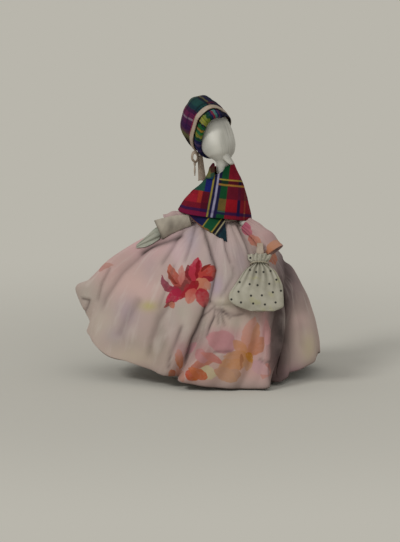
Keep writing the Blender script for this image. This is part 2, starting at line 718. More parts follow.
def petal_group():
    """Node group of one petal: a lens 1 long with a pointed tip, bowed to one side, that
    gives its coverage, its length share and the dark of its rib."""
    tree = bpy.data.node_groups.new("petal", "ShaderNodeTree")
    names = ("X", "Y", "Base X", "Base Y", "Turn X", "Turn Y", "Slim", "Bow")
    results = ("Cover", "Along", "Rib")
    for name in (*names, *results):
        way = "INPUT" if name in names else "OUTPUT"
        tree.interface.new_socket(name, in_out=way, socket_type="NodeSocketFloat")
    given = tree.nodes.new("NodeGroupInput").outputs
    result = tree.nodes.new("NodeGroupOutput").inputs
    # Plain numbers all the way: a vector here is converted, and 50 of them fill the stack
    known = worked_out(
        tree, {name: given[name] for name in names},
        ("right", "SUBTRACT", "X", "Base X"),
        ("down", "SUBTRACT", "Y", "Base Y"),
        ("down ahead", "MULTIPLY", "down", "Turn Y"),
        ("ahead", "MULTIPLY_ADD", "right", "Turn X", "down ahead"),
        ("started", "MAXIMUM", "ahead", 0.0),
        ("Along", "MINIMUM", "started", 1.0),
        ("left", "SUBTRACT", 1.0, "Along"),
        ("down beside", "MULTIPLY", "down", "Turn X"),
        ("right beside", "MULTIPLY", "right", "Turn Y"),
        ("beside", "SUBTRACT", "down beside", "right beside"),
        ("across", "MULTIPLY", "beside", "Slim"),
        ("hump", "MULTIPLY", "Along", "left"),
        ("arch", "MULTIPLY", "hump", 4.0),
        ("bend", "MULTIPLY", "arch", "Bow"),
        ("off middle", "SUBTRACT", "across", "bend"),
        ("away", "ABSOLUTE", "off middle"),
        ("root", "POWER", "Along", 0.6),
        ("tip", "POWER", "left", 0.75),
        ("swell", "MULTIPLY", "root", "tip"),
        ("half", "MULTIPLY", "swell", 2.3),
        ("inside", "SUBTRACT", "half", "away"),
        ("paling", "MULTIPLY", "away", 1.4),
        ("paled", "MINIMUM", "paling", 0.35),
        ("Rib", "SUBTRACT", 0.35, "paled"),
        ("Cover", "SOFT_RANGE", "inside", 0.03, 0.16),
    )
    for name in results:
        tree.links.new(known[name], result[name])
    return tree


def washed_ground(tree, chart, place, settings):
    """Socket of the cotton's ground: washes that pooled and dried unevenly, in blotches
    20 mm and 8 mm across, with pale brush marks down the cloth."""
    brushed = add(tree, "ShaderNodeMapping", {"Vector": chart, "Scale": (0.13, 0.035, 1)}).outputs["Vector"]
    noise = add(tree, "ShaderNodeTexNoise", {"Vector": brushed, "Scale": 1.0, "Detail": 3.0})
    known = {"noise": noise.outputs["Fac"]}
    known = worked_out(tree, known, ("marks", "RANGE", "noise", 0.54, 0.72, 0.0, 0.4))
    return layered(
        tree, add(tree, "ShaderNodeAttribute", attribute_name="wash").outputs["Color"],
        (mottle(tree, place, 20, 0, 0.16), linear(settings.cotton_grey)),
        (mottle(tree, place, 8, 0, 0.2), linear(settings.cotton_pink)),
        (known["marks"], linear(settings.cotton_pale)),
    )


# Share of the allover print's run, and tone, of its paler and deeper lilies
ALLOVER_TONES = ((0, "#a8404a"), (0.35, "#b0747a"), (0.6, "#b0846f"), (1, "#a05a50"))


def with_allover_print(tree, body, chart, seen):
    """Lays the allover print on the parts that the front lilies don't reach: one lily of
    six petals in each 62 mm of cloth, its reach |cos 3a| at angle a."""
    share = 1 / 62
    cells = add(
        tree, "ShaderNodeTexVoronoi", {"Vector": chart, "Scale": share, "Randomness": 0.6},
        voronoi_dimensions="2D",
    ).outputs
    ends = {0: chart, 1: cells["Position"]}
    apart = add(tree, "ShaderNodeVectorMath", ends, operation="SUBTRACT").outputs[0]
    spot = add(tree, "ShaderNodeVectorMath", {0: apart, 1: (share,) * 3}, operation="MULTIPLY").outputs[0]
    flat = add(tree, "ShaderNodeSeparateXYZ", {0: spot}).outputs
    radius = add(tree, "ShaderNodeVectorMath", {0: spot}, operation="LENGTH").outputs["Value"]
    chance = add(tree, "ShaderNodeSeparateColor", {0: cells["Color"]}).outputs
    known = worked_out(
        tree, {"x": flat[0], "y": flat[1], "radius": radius, "chance": chance[0], "seen": seen},
        ("angle", "ARCTAN2", "y", "x"),
        ("turned", "MULTIPLY_ADD", "chance", TAU, "angle"),
        ("petals", "MULTIPLY", "turned", 3.0),
        ("wave", "COSINE", "petals"),
        ("lobes", "ABSOLUTE", "wave"),
        ("reach", "RANGE", "lobes", 0.0, 0.8, 0.06, 0.26),
        ("within", "SUBTRACT", "reach", "radius"),
        ("bloom", "SOFT_RANGE", "within", 0.0, 0.04, 0.0, 0.6),
        ("unseen", "RANGE", "seen", 0.3, 0.0),
        ("printed", "MULTIPLY", "bloom", "unseen"),
    )
    stops = [(place, linear(tone)) for place, tone in ALLOVER_TONES]
    tones = add(tree, "ShaderNodeValToRGB", {"Fac": chance[1]}, stops).outputs["Color"]
    return layered(tree, body, (known["printed"], tones))


def with_front_lilies(tree, body, view, seen):
    """Lays the front lilies, whose edges wander by a step or so, as a hand-laid wash
    does, and whose colour is a little streaked."""
    wander = add(tree, "ShaderNodeTexNoise", {"Vector": view, "Scale": 0.22, "Detail": 3.0}).outputs["Color"]
    shift = add(
        tree, "ShaderNodeVectorMath", {0: wander, 1: (0.5, 0.5, 0.5)}, operation="SUBTRACT",
    ).outputs[0]
    moved = add(
        tree, "ShaderNodeVectorMath", {0: shift, 1: (3.6, 3.6, 0), 2: view}, operation="MULTIPLY_ADD",
    ).outputs[0]
    streaks = add(tree, "ShaderNodeTexNoise", {"Vector": view, "Scale": 0.35, "Detail": 5.0}).outputs["Fac"]
    known = worked_out(
        tree, {"seen": seen, "streaks": streaks},
        ("thin", "RANGE", "streaks", 0.3, 0.6, 0.84, 1.0),
        ("front", "MULTIPLY", "seen", "thin"),
    )
    spot = add(tree, "ShaderNodeSeparateXYZ", {0: moved}).outputs
    group = petal_group()
    for base, tip, half_width, bow, base_tone, tip_tone in LILY_PETALS:
        span = math.dist(base, tip)
        petal = add(
            tree, "ShaderNodeGroup",
            {"X": spot[0], "Y": spot[1], "Base X": base[0], "Base Y": base[1],
             "Turn X": (tip[0] - base[0]) / span ** 2, "Turn Y": (tip[1] - base[1]) / span ** 2,
             "Slim": span / half_width, "Bow": bow / half_width},
            node_tree=group,
        ).outputs
        tone = layered(
            tree, linear(base_tone), (petal["Along"], linear(tip_tone)), (petal["Rib"], linear(base_tone)),
        )
        known["cover"] = petal["Cover"]
        share = worked_out(tree, known, ("share", "MULTIPLY", "cover", "front"))["share"]
        body = layered(tree, body, (share, tone))
    return body


def printed_cotton(settings):
    """Soft printed cotton, faded: watery pink and grey grounds, large red and pink lilies
    on the front, and the same print smaller and paler on the rest."""
    def dyed(tree, chart, place):
        view = add(tree, "ShaderNodeAttribute", attribute_name="view").outputs["Vector"]
        seen = add(tree, "ShaderNodeSeparateXYZ", {0: view}).outputs[2]
        body = washed_ground(tree, chart, place, settings)
        body = with_allover_print(tree, body, chart, seen)
        return with_front_lilies(tree, body, view, seen)

    return woven_cloth("printed_cotton_faded", dyed, settings.fold_tone, 0.8, 0.15, 0.9, 0.15)


# Places of the black spots on the bag, in steps of the front view, row by row
BAG_SPOT_ROWS = (
    ((249.9, 258),),
    ((249.5, 270), (255.5, 272), (262.8, 272), (269.8, 271)),
    ((239.2, 282), (249, 284), (256.8, 285), (268.4, 283.7), (275.5, 279.6)),
    ((238, 291.4), (250.3, 295.3), (261, 295), (271.9, 292), (279.9, 290.5)),
    ((231, 299), (240.4, 302), (252.4, 303), (264, 304), (274.5, 302)),
)
BAG_SPOT_RADIUS = 1.35


def spotted_muslin():
    """Cream-green cotton muslin with small black spots, gathered and a little stained."""
    def dyed(tree, chart, place):
        view = add(tree, "ShaderNodeAttribute", attribute_name="view").outputs["Vector"]
        view = add(tree, "ShaderNodeSeparateXYZ", {0: view}).outputs
        flat = add(tree, "ShaderNodeCombineXYZ", {0: view[0], 1: view[1]}).outputs[0]
        # On the back the spots lie 9 mm apart in rows
        cells = add(tree, "ShaderNodeTexVoronoi", {"Vector": chart, "Scale": 1 / 9, "Randomness": 0.3})
        known = {
            "cell": cells.outputs["Distance"],
            "blotches": mottle(tree, place, 13, -1.4, 0.8),
            # More than any real distance
            "nearest": 1e6,
        }
        for spot in (spot for row in BAG_SPOT_ROWS for spot in row):
            away = add(tree, "ShaderNodeVectorMath", {0: flat, 1: (*spot, 0)}, operation="DISTANCE")
            known["away"] = away.outputs["Value"]
            known = worked_out(tree, known, ("nearest", "MINIMUM", "nearest", "away"))
        known = worked_out(
            tree, known,
            ("stain", "MAXIMUM", "blotches", 0.0),
            ("front", "RANGE", "nearest", BAG_SPOT_RADIUS, BAG_SPOT_RADIUS - 0.5),
            ("behind", "RANGE", "cell", 0.11, 0.08),
        )
        behind, front = (
            add(tree, "ShaderNodeCombineColor", {i: known[side] for i in range(3)}).outputs[0]
            for side in ("behind", "front")
        )
        return layered(
            tree, linear("#a8a392"), (mottle(tree, place, 8, 0, 1), linear("#928d7c")),
            (known["stain"], linear("#a09c62")),
            (layered(tree, behind, (view[2], front)), linear("#14120f")),
        )

    return woven_cloth("spotted_cotton_muslin", dyed, "#46412f", 0.7, 0.15, 0.85, 0.5)


# The clay pipe: how far along its middle line, and the radius there
PIPE_OUTLINE = (
    (5.5, 3.1), (7, 3.3), (138, 4.2), (146, 4.35), (149, 4.8), (151.5, 6.9), (153.5, 8.9), (156, 10.3),
    (158.5, 11.3), (162, 12.0), (166, 12.55), (171, 12.7), (178, 12.2), (184, 11.2), (188.2, 10.6),
)
# Kiln tones round the bowl: place in the front view, spread, tone and strength
PIPE_WASHES = (
    (213, 127, 8, 12, "#dad7cb", 0.9), (202, 136, 5, 16, "#84847e", 0.9),
    (207, 149, 7, 6, "#a8a9a0", 0.7), (223, 140, 4, 16, "#918f84", 0.75),
    (216, 148, 5, 6, "#c2bfb3", 0.6), (228, 138, 6, 18, "#a7a498", 0.6),
    (232, 152, 5, 8, "#8f8b80", 0.6), (217, 166, 4, 9, "#b4b2a9", 0.5),
    (222, 118, 8, 6, "#cfccc0", 0.7),
)
PIPE_BEND_START = 146.0
PIPE_CORNER = 153.7
PIPE_BEND_REACH = 7.77
PIPE_RIM = 188.2
PIPE_FOOT_CHAMFER = 0.4
CHAMBER_FLOOR = 157.2
CHAMBER_ROUND = 2.0
SPUR = {
    "forward": 5.5, "height": 154.0, "length": 9.4, "droop": 30.0, "tip": 2.4, "foot": 3.9, "fillet": 0.6,
    "crown": 0.9, "start": 0.5,
}


def pipe_spine(t):
    """Middle line of the pipe and its direction: straight up, round a quadratic bend at
    the corner, and straight back along the bowl."""
    back = leaning_back(BOWL_LEAN)
    corner = np.array([0, 0, PIPE_CORNER])
    start = np.array([0, 0, PIPE_BEND_START])
    end = corner + PIPE_BEND_REACH * back
    u = np.linspace(0, 1, 60)[:, None]
    bend = (1 - u) ** 2 * start + 2 * u * (1 - u) * corner + u ** 2 * end
    line = np.concatenate([[[0, 0, 0]], bend, [end + 60 * back]])
    walked = walked_along(line)

    def at(place):
        return np.stack([np.interp(place, walked, line[:, k]) for k in range(3)], axis=-1)

    return at(t), unit(at(t + 0.2) - at(t - 0.2))


def pipe_profile(settings):
    """Place along the spine and radius of one section: outside, rim, chamber, its
    rounded floor, and bore; and 1 for the points that are outside."""
    foot = PIPE_OUTLINE[0][0]
    wall, bore = settings.bowl_wall, settings.bore_radius
    stem = np.linspace(foot + PIPE_FOOT_CHAMFER, 137, 50)
    outer_t = np.concatenate([stem, np.linspace(138, PIPE_RIM, 130)])
    outer_r = table(PIPE_OUTLINE, outer_t)
    rim = np.linspace(0, math.pi, 9)[1:-1]
    inner_t = np.linspace(PIPE_RIM, CHAMBER_FLOOR + CHAMBER_ROUND, 30)
    inner_r = table(PIPE_OUTLINE, inner_t) - wall
    floor = np.linspace(0, math.pi / 2, 8)[1:]
    parts = (
        (outer_t, outer_r),
        (PIPE_RIM + 0.45 * wall * np.sin(rim), outer_r[-1] - wall / 2 + wall / 2 * np.cos(rim)),
        (inner_t, inner_r),
        (CHAMBER_FLOOR + CHAMBER_ROUND * (1 - np.sin(floor)), bore + (inner_r[-1] - bore) * np.cos(floor)),
        (np.linspace(CHAMBER_FLOOR - 1, foot, 24), np.full(24, bore)),
        ([foot], [outer_r[0] - PIPE_FOOT_CHAMFER]),
    )
    t, r = (np.concatenate([part[k] for part in parts]) for k in (0, 1))
    return t, r, (np.arange(len(t)) < len(outer_t)).astype(float)


def with_spur(points, outer):
    """Draws the spur out of the bowl: outside points near its line are pushed along it
    up to a rounded tip, less the further they lie from the line."""
    droop = math.radians(SPUR["droop"])
    direction = facing(math.cos(droop)) - np.array([0, 0, math.sin(droop)])
    offset = points - (facing(SPUR["forward"]) + np.array([0, 0, SPUR["height"]]))
    reach = offset @ direction
    beside = np.linalg.norm(offset - reach[..., None] * direction, axis=-1)
    top = SPUR["length"] - SPUR["crown"] * (beside / SPUR["tip"]) ** 2
    drawn = 1 - smoothstep(SPUR["tip"] - SPUR["fillet"], SPUR["foot"], beside)
    lift = np.maximum(top - reach, 0) * drawn * (reach > SPUR["start"]) * outer[:, None]
    return points + direction * lift[..., None]


def pipe_surface(settings):
    """The pipe's section carried along its spine, with each ring's points at
    middle + radius (cos a across + sin a behind); and t, a and which rows are outside."""
    t, r, outer = pipe_profile(settings)
    middle, along = pipe_spine(t)
    across = np.broadcast_to([math.cos(FACING), math.sin(FACING), 0.0], along.shape)
    behind = np.cross(along, across)
    # More columns at the front, where the spur stands
    angle = once_round(192)
    angle = angle - 0.35 * np.cos(angle)
    points = middle[:, None] + r[:, None, None] * (
        np.cos(angle)[None, :, None] * across[:, None] + np.sin(angle)[None, :, None] * behind[:, None]
    )
    points = with_spur(points, outer)
    # Hand-finished clay is a little uneven
    wave = 0.09 * uneven(points, 17) * outer[:, None]
    return points + unit(points - middle[:, None]) * wave[..., None], t, angle, outer


class OBJECT_OT_doll_pipe(bpy.types.Operator):
    """Clay pipe with its bowl, spur, stem and bore"""

    bl_idname = "object.doll_pipe"
    bl_label = "Clay Pipe"

    def execute(self, context):
        settings = context.scene.doll_pipe
        points, t, angle, outer = pipe_surface(settings)
        chart = chart_of(np.append(angle, angle[0] + TAU)[None, :] * 12, np.append(t, t[0])[:, None])
        x, y = front_view(points)
        values = {
            "streak": smoothstep(217, 231, x) * outer[:, None],
            "wash": washed(x, y, settings.clay_tone, PIPE_WASHES),
        }
        part = grid_part(points, chart, wrap_rows=True, wrap_columns=True, values=values)
        make_piece("pipe", [part], fired_clay(settings), "dressed_pipe", "clay_pipe")
        return {"FINISHED"}


# Trunk and arms
# The stem that the rag is wound round: height and radius at both ends of its taper
STEM_TAPER = ((5.5, 3.3), (138, 4.4))
TRUNK = {"bottom": 97.0, "top": 138.0, "radius": 9.2, "lap": 0.45, "sunk": 0.5}
TRUNK_OUTLINE_SHARES = (
    (0, 0.66), (0.06, 0.84), (0.36, 0.86), (0.46, 0.96), (0.62, 1), (0.8, 0.92), (0.95, 0.78),
    (1, 0.64),
)
ARM = {"radius": 2.2, "span": 40.0, "height": 118.0}
ARM_ROUTE_SHARES = (
    (-0.96, -0.31, -0.325), (-0.78, -0.26, -0.26), (-0.6, -0.22, -0.195), (-0.45, -0.2, -0.15),
    (-0.36, 0.08, -0.1), (-0.27, 0.63, 0), (0, 1, 0.07), (0.265, 0.64, 0.02), (0.335, -0.02, -0.06),
    (0.335, -0.69, -0.2), (0.345, -0.93, -0.265), (0.405, -1.06, -0.28), (0.5625, -1.31, -0.38),
    (0.73, -1.615, -0.5275), (0.825, -1.82, -0.64),
)
BINDING = {"radius": 0.55, "height": 120.8}
BINDING_ROUTE_SHARES = (
    (0, -1.11, 0), (-0.96, -0.56, 0.13), (-1.12, 0.2, 0.22), (-0.84, 0.76, 0.38), (-0.46, 1.28, 0.42),
    (0, 1.62, 0.02), (0.46, 1.28, -0.42), (0.82, 0.72, -0.52), (1.085, 0.1, -0.34), (1, -0.5, -0.14),
)
# Each sleeve from where it starts off the stem: how it runs on, its half width and half
# thickness there in shares of its length, the cloth it is cut from and its ground
SLEEVES = {
    "left_sleeve": {
        "node": "sleeve_left", "length": 26.0, "start": (-18.5, -2.7, 112.0), "across": (0, 0, 1),
        "route_shares": ((0, 0, 0), (-0.26, 0.02, -0.075), (-0.53, 0, -0.17), (-0.785, -0.02, -0.26)),
        "half_shares": ((0.15, 0.13), (0.2, 0.14), (0.25, 0.145), (0.26, 0.145)),
        "flat": (0.03, 0.026), "tone": "#a8918c",
    },
    "right_sleeve": {
        "node": "sleeve_right", "length": 31.0, "start": (15.8, -12.4, 107.3),
        "across": (0.648, 0.399, 0.648),
        "route_shares": ((0, 0, 0), (0.216, -0.094, -0.145), (0.432, -0.21, -0.335), (0.632, -0.342, -0.584)),
        "half_shares": ((0.145, 0.105), (0.18, 0.115), (0.215, 0.125), (0.24, 0.13)),
        "flat": (0.04, 0.028), "tone": "#a68884",
    },
}
SLEEVE_WASHES = ((275, 252, 6, 12, "#6a5654", 0.8), (256, 228, 10, 6, "#b09a94", 0.6))
CUFF = {
    "length": 24.0, "start": (-22.5, -3.8, 109.4), "across": (0, 0, 1),
    "route_shares": ((0, 0, 0), (-0.3, 0, -0.09), (-0.62, -0.02, -0.2), (-0.92, -0.05, -0.33)),
    "half_shares": ((0.235, 0.205), (0.285, 0.215), (0.31, 0.225), (0.32, 0.215)),
    "inner_top": 38.0, "outer_top": 74.0, "bottom": -165.0,
}
HANDKERCHIEF = {"length": 19.0, "start": (-42.5, -3.6, 98.9), "fold": 0.9, "folds": 2.5, "wall": 0.6}
HANDKERCHIEF_SHARES = (
    (0, 0, 0, 0.3), (-0.22, 0, -0.12, 0.31), (-0.5, 0.03, -0.3, 0.23), (-0.9, 0.08, -0.5, 0.06),
)
CLOTH_WALL = 0.9
# Air kept between a cloth and the skirt that it lies on
LAID_GAP = 0.2


def placed(shares, size, start):
    """Points of a route given in shares of a size from a start."""
    return np.asarray(shares, float)[:, :3] * size + np.asarray(start)


def numbered(rows):
    """Rows with their place in the list, from 0 to 1, put first."""
    return [(i / (len(rows) - 1), *row) for i, row in enumerate(rows)]


def oval_tube(piece, s, angle):
    """Flat oval rings along a route: middle + width sin(a) + thickness cos(a)."""
    line = placed(piece["route_shares"], piece["length"], piece["start"])
    middle, wide, thick = across_and_along(line, s, piece["across"])
    rows = numbered(piece["half_shares"])
    width, thickness = (table(rows, s, k)[:, None] * piece["length"] for k in (1, 2))
    angle = np.broadcast_to(angle, (len(s), np.shape(angle)[-1]))
    return (
        middle[:, None] + wide[:, None] * (width * np.sin(angle))[..., None]
        + thick[:, None] * (thickness * np.cos(angle))[..., None]
    )


def sleeve_surface(sleeve, rows=60, columns=140):
    """Sleeve: an oval tube, gathered at its top and wrinkled across."""
    s = rounded_edge(rows, 0.008)
    angle = once_round(columns)
    points = oval_tube(sleeve, s, angle)
    s = s[:, None]
    gather = 0.3 * (1 - smoothstep(0, 0.7, s)) * np.cos(13 * angle)
    ring = 0.35 * np.sin(TAU * 2.6 * s + 1.2 * np.cos(angle)) * smoothstep(0.1, 0.6, s)
    return points + normals(points, True) * (gather + ring)[..., None]


def even_chart(points, wrapped):
    """UV in millimetres: the mean length walked across and down a grid."""
    down = np.linalg.norm(np.diff(points, axis=0), axis=-1).mean(axis=1)
    if wrapped:
        points = np.concatenate([points, points[:, :1]], axis=1)
    side = np.linalg.norm(np.diff(points, axis=1), axis=-1).max(axis=0)
    u, v = (np.concatenate([[0], np.cumsum(steps)]) for steps in (side, down))
    return chart_of(u[None, :], v[:, None])


def view_of(points, faces=(0.02, 0.26)):
    """Front view place of each point of a wrapped grid, and how far it faces the view:
    0 at the first and 1 at the second of two cosines."""
    x, y = front_view(points)
    return np.stack([x, y, smoothstep(*faces, outward(points) @ VIEW_FROM)], axis=-1)


class OBJECT_OT_doll_trunk(bpy.types.Operator):
    """Rag wound round the stem, the rolled cloth arms, and the threads that tie them"""

    bl_idname = "object.doll_trunk"
    bl_label = "Trunk And Arms"

    def execute(self, context):
        cotton = plain_cotton("bleached_cotton_rag", "#b3b0a6", "#a19d92", 0.9)
        flax = linen_thread()
        self.trunk(context.scene.doll_arms, cotton)
        self.arms(cotton)
        line = placed(BINDING_ROUTE_SHARES, TRUNK["radius"], (0, 0, BINDING["height"]))
        thread = thread_ring(line, BINDING["radius"])
        make_piece("arm_thread", [thread], flax, "dressed_pipe", "arm_binding")
        return {"FINISHED"}

    def trunk(self, settings, cotton):
        share = np.linspace(0, 1, 90)
        height = TRUNK["bottom"] + (TRUNK["top"] - TRUNK["bottom"]) * share
        angle = once_round(120)
        lap = np.mod(height[:, None] / settings.lap_width + angle[None, :] / TAU, 1)
        outline = table(TRUNK_OUTLINE_SHARES, share)[:, None] * TRUNK["radius"]
        outer = outline - TRUNK["sunk"] + TRUNK["lap"] * lap
        stem = np.interp(height, *zip(*STEM_TAPER))[:, None] + SEAT_GAP
        inner = np.broadcast_to(stem, outer.shape)
        r = np.concatenate([outer, inner[::-1]])
        z = np.concatenate([height, height[::-1]])
        points = np.stack(np.broadcast_arrays(r * np.sin(angle), -r * np.cos(angle), z[:, None]), axis=-1)
        shade = np.concatenate([0.5 * bump(lap, 0, 0.12), np.zeros(inner.shape)])
        chart = round_chart(58, angle.size, np.append(z, z[0]))
        part = grid_part(points, chart, True, True, values={"shade": shade})
        wrap = make_piece("wound_rag", [part], cotton, "dressed_pipe", "body_wrap")

    def arms(self, cotton):
        back = TRUNK["radius"] + SEAT_GAP + ARM["radius"]
        line = np.array(ARM_ROUTE_SHARES) * np.array([ARM["span"], back, ARM["span"]])
        s = np.linspace(0, 1, 220)
        middle, wide, thick = across_and_along(line + np.array([0, 0, ARM["height"]]), s, (0, 0, 1))
        a = once_round(28)
        roll = ARM["radius"] * (1 - 0.12 * np.mod(a / TAU + 2 * s[:, None], 1))
        rings = middle[:, None] + wide[:, None] * (roll * np.sin(a))[..., None]
        rings = rings + thick[:, None] * (roll * np.cos(a))[..., None]
        part = capped_tube(rings, round_chart(14, a.size, s * 150))
        arms = make_piece("rolled_arms", [part], cotton, "dressed_pipe", "arm_roll", True)


def thread_ring(line, radius, steps=400, twist=70):
    """Two-ply thread round a closed route: radius grows where each strand comes round."""
    s = np.linspace(0, 1, steps, endpoint=False)
    middle, wide, thick = across_and_along(line, s, (0, 0, 1), closed=True)
    a = once_round(12)
    ply = radius * (0.86 + 0.14 * np.cos(2 * a + TAU * twist * s[:, None]))
    rings = middle[:, None] + wide[:, None] * (ply * np.sin(a))[..., None]
    rings = rings + thick[:, None] * (ply * np.cos(a))[..., None]
    return grid_part(rings, round_chart(4, a.size, np.linspace(0, 90, steps + 1)), True, True)


# The bonnet, in its own plane: across, up, and towards the face
BONNET = {
    "back": 11.6, "height": 168.8, "half_width": 17.7, "half_height": 21.2, "depth": 27.7, "wall": 1.2,
    "puffs": 9,
}
BONNET_WORN = {
    "draw_left": 0.12, "draw_right": 0.21, "flatten": 0.1, "slope": 0.16, "raise": 0.11, "lean": 0.2,
    "set_back": 0.3,
}
CROWN_OUTLINE_SHARES = (
    (0, 1), (0.14, 1.03), (0.31, 1.045), (0.54, 0.98), (0.72, 0.85), (0.87, 0.62), (0.97, 0.28), (1, 0),
)
BRIM = {"width": 4.8, "depth": 6.9, "pleat": 0.32, "full": 0.25, "thin_right": 0.62}
RIBBON = {"width": 3.4, "wall": 0.8, "ruffle": 0.25, "waves": 7, "overlap": 1.3}
TIE_LOOP = {
    "clock": -122, "drop": 3.1, "half_width": 1.5, "half_wall": 0.4, "across": 2.0, "down": 3.3,
    "length": 18.0,
}
TIE_TAIL = {"clock": -106, "top": 3.4, "widening": 2.4, "sway": 1.6, "length": 18.0}
TIE_TWIST = {"clock": -122, "drop": 6.2, "half_width": 0.95, "half_wall": 0.4, "turns": 0.8, "length": 9.0}
# Cloth colours by clock angle from the doll's right, in degrees
CROWN_STRIPES = (
    (-60, "#1a1830"), (-30, "#14202c"), (0, "#1a1830"), (20, "#4a1226"), (45, "#1a1830"),
    (62, "#15163a"), (74, "#12242c"), (86, "#1c1c38"), (99, "#5f5a34"), (103, "#141c2a"),
    (110, "#1c3f3c"), (128, "#17323a"), (139, "#3a1838"), (150, "#5a1c40"), (163, "#8a7a86"),
    (165.5, "#4a1a44"), (178, "#3a1642"), (190, "#4a2a3c"), (197, "#5a5538"), (209, "#2a201c"),
    (224, "#14100f"), (242, "#4c1020"), (262, "#10303a"), (290, "#3a1640"),
)
# Crosswise bands of the crown: clock angles from and to, depth from and to, tone, strength
CROWN_BANDS = (
    (140, 196, 0.0, 0.16, "#8c2440", 0.85), (150, 188, 0.3, 0.34, "#241238", 0.7),
    (96, 140, 0.2, 0.24, "#0f1c22", 0.7), (-60, 100, 0.18, 0.25, "#4a1226", 0.7),
    (-60, 300, 0.52, 0.55, "#0f1024", 0.7), (-60, 300, 0.62, 0.64, "#8a7a50", 0.5),
    (-60, 300, 0.72, 0.86, "#3a1230", 0.6),
)
BRIM_STRIPES = (
    (-60, "#161634"), (-20, "#0e0e24"), (40, "#100c24"), (78, "#141a40"), (86, "#5a2040"),
    (92, "#1a2a50"), (98, "#4a7a72"), (103, "#7a2432"), (109, "#1c2450"), (115, "#123a28"),
    (124, "#6f7a2c"), (136, "#8a8a38"), (147, "#141a18"), (151, "#1a5a2c"), (160, "#8a6a24"),
    (165, "#20602c"), (174, "#7a7a2c"), (182, "#16402c"), (190, "#1a2048"), (198, "#4a3a5a"),
    (205, "#1a1c48"), (214, "#3a2a50"), (222, "#14163c"), (240, "#12143a"), (270, "#161634"),
)


def to_bonnet(x, y, z):
    """Places in the bonnet's own plane, carried to the doll."""
    across = np.array([math.cos(FACING), math.sin(FACING), 0.0])
    face = -leaning_back(BONNET_LEAN)
    upward = np.cross(face, across)
    centre = facing(-BONNET["back"]) + np.array([0, 0, BONNET["height"]])
    x, y, z = np.broadcast_arrays(x, y, z)
    return centre + x[..., None] * across + y[..., None] * upward + z[..., None] * face


def askew(x, y, z):
    """The bonnet as worn: its mouth drawn in at the sides and flatter above and below,
    its top sloping to the right and leaning to the left, its right side further back."""
    worn = BONNET_WORN
    mouth = smoothstep(-13, -3, z)
    right, left = np.maximum(x, 0), np.minimum(x, 0)
    above, below = np.maximum(y, 0), np.minimum(y, 0)
    slope = worn["slope"] * smoothstep(-4, 13, x)
    lean = worn["lean"] * above * smoothstep(0, 16, above)
    x = x - worn["draw_right"] * right - worn["draw_left"] * mouth * left - lean
    y = y - (worn["flatten"] + slope) * above - worn["raise"] * below
    return x, y, z - worn["set_back"] * right


def on_bonnet(x, y, z):
    """Cloth places in the bonnet's own plane, as the bonnet is worn."""
    return to_bonnet(*askew(x, y, z))


def crown_outline(place):
    """Depth and reach of the crown at a share of its outline, in shares."""
    rows = [(i, *pair) for i, pair in enumerate(CROWN_OUTLINE_SHARES)]
    i = np.asarray(place) * (len(rows) - 1)
    return table(rows, i, 1), np.maximum(table(rows, i, 2), 0)


def crown_surface(place, angle, lift=0.0, gathered=1.0):
    """Crown: an oval dome with puffs, and small gathers where it meets the band."""
    depth, reach = crown_outline(place)
    puff = 0.022 * np.sin(math.pi * np.clip(depth, 0, 1)) * np.cos(BONNET["puffs"] * angle)
    gather = 0.014 * gathered * bump(depth, 0.08, 0.2) * np.cos(58 * angle + 1.3 * np.sin(5 * angle))
    reach = reach * (1 + puff + gather)
    return (
        (BONNET["half_width"] * reach + lift) * np.cos(angle),
        (BONNET["half_height"] * reach + lift) * np.sin(angle),
        -BONNET["depth"] * depth,
    )


def clock_of(angle):
    """Clock angle in degrees, which starts anew at 300."""
    clock = np.degrees(angle)
    return np.where(clock > 300, clock - 360, clock)


def dyed_flecks(dye, share, tone):
    """A dye with flecks of another tone laid over it."""
    return dye + (np.array(linear(tone)[:3]) - dye) * share[..., None]


def on_band(clock, out):
    """A place on the outside of the ribbon band by its clock angle in degrees."""
    lift = BONNET["wall"] / 2 + SEAT_GAP + 2 * RIBBON["ruffle"] + RIBBON["wall"] + out
    x, y, _ = crown_surface(0.0, math.radians(clock), lift, 0.0)
    return on_bonnet(x, y, -RIBBON["width"] / 2)


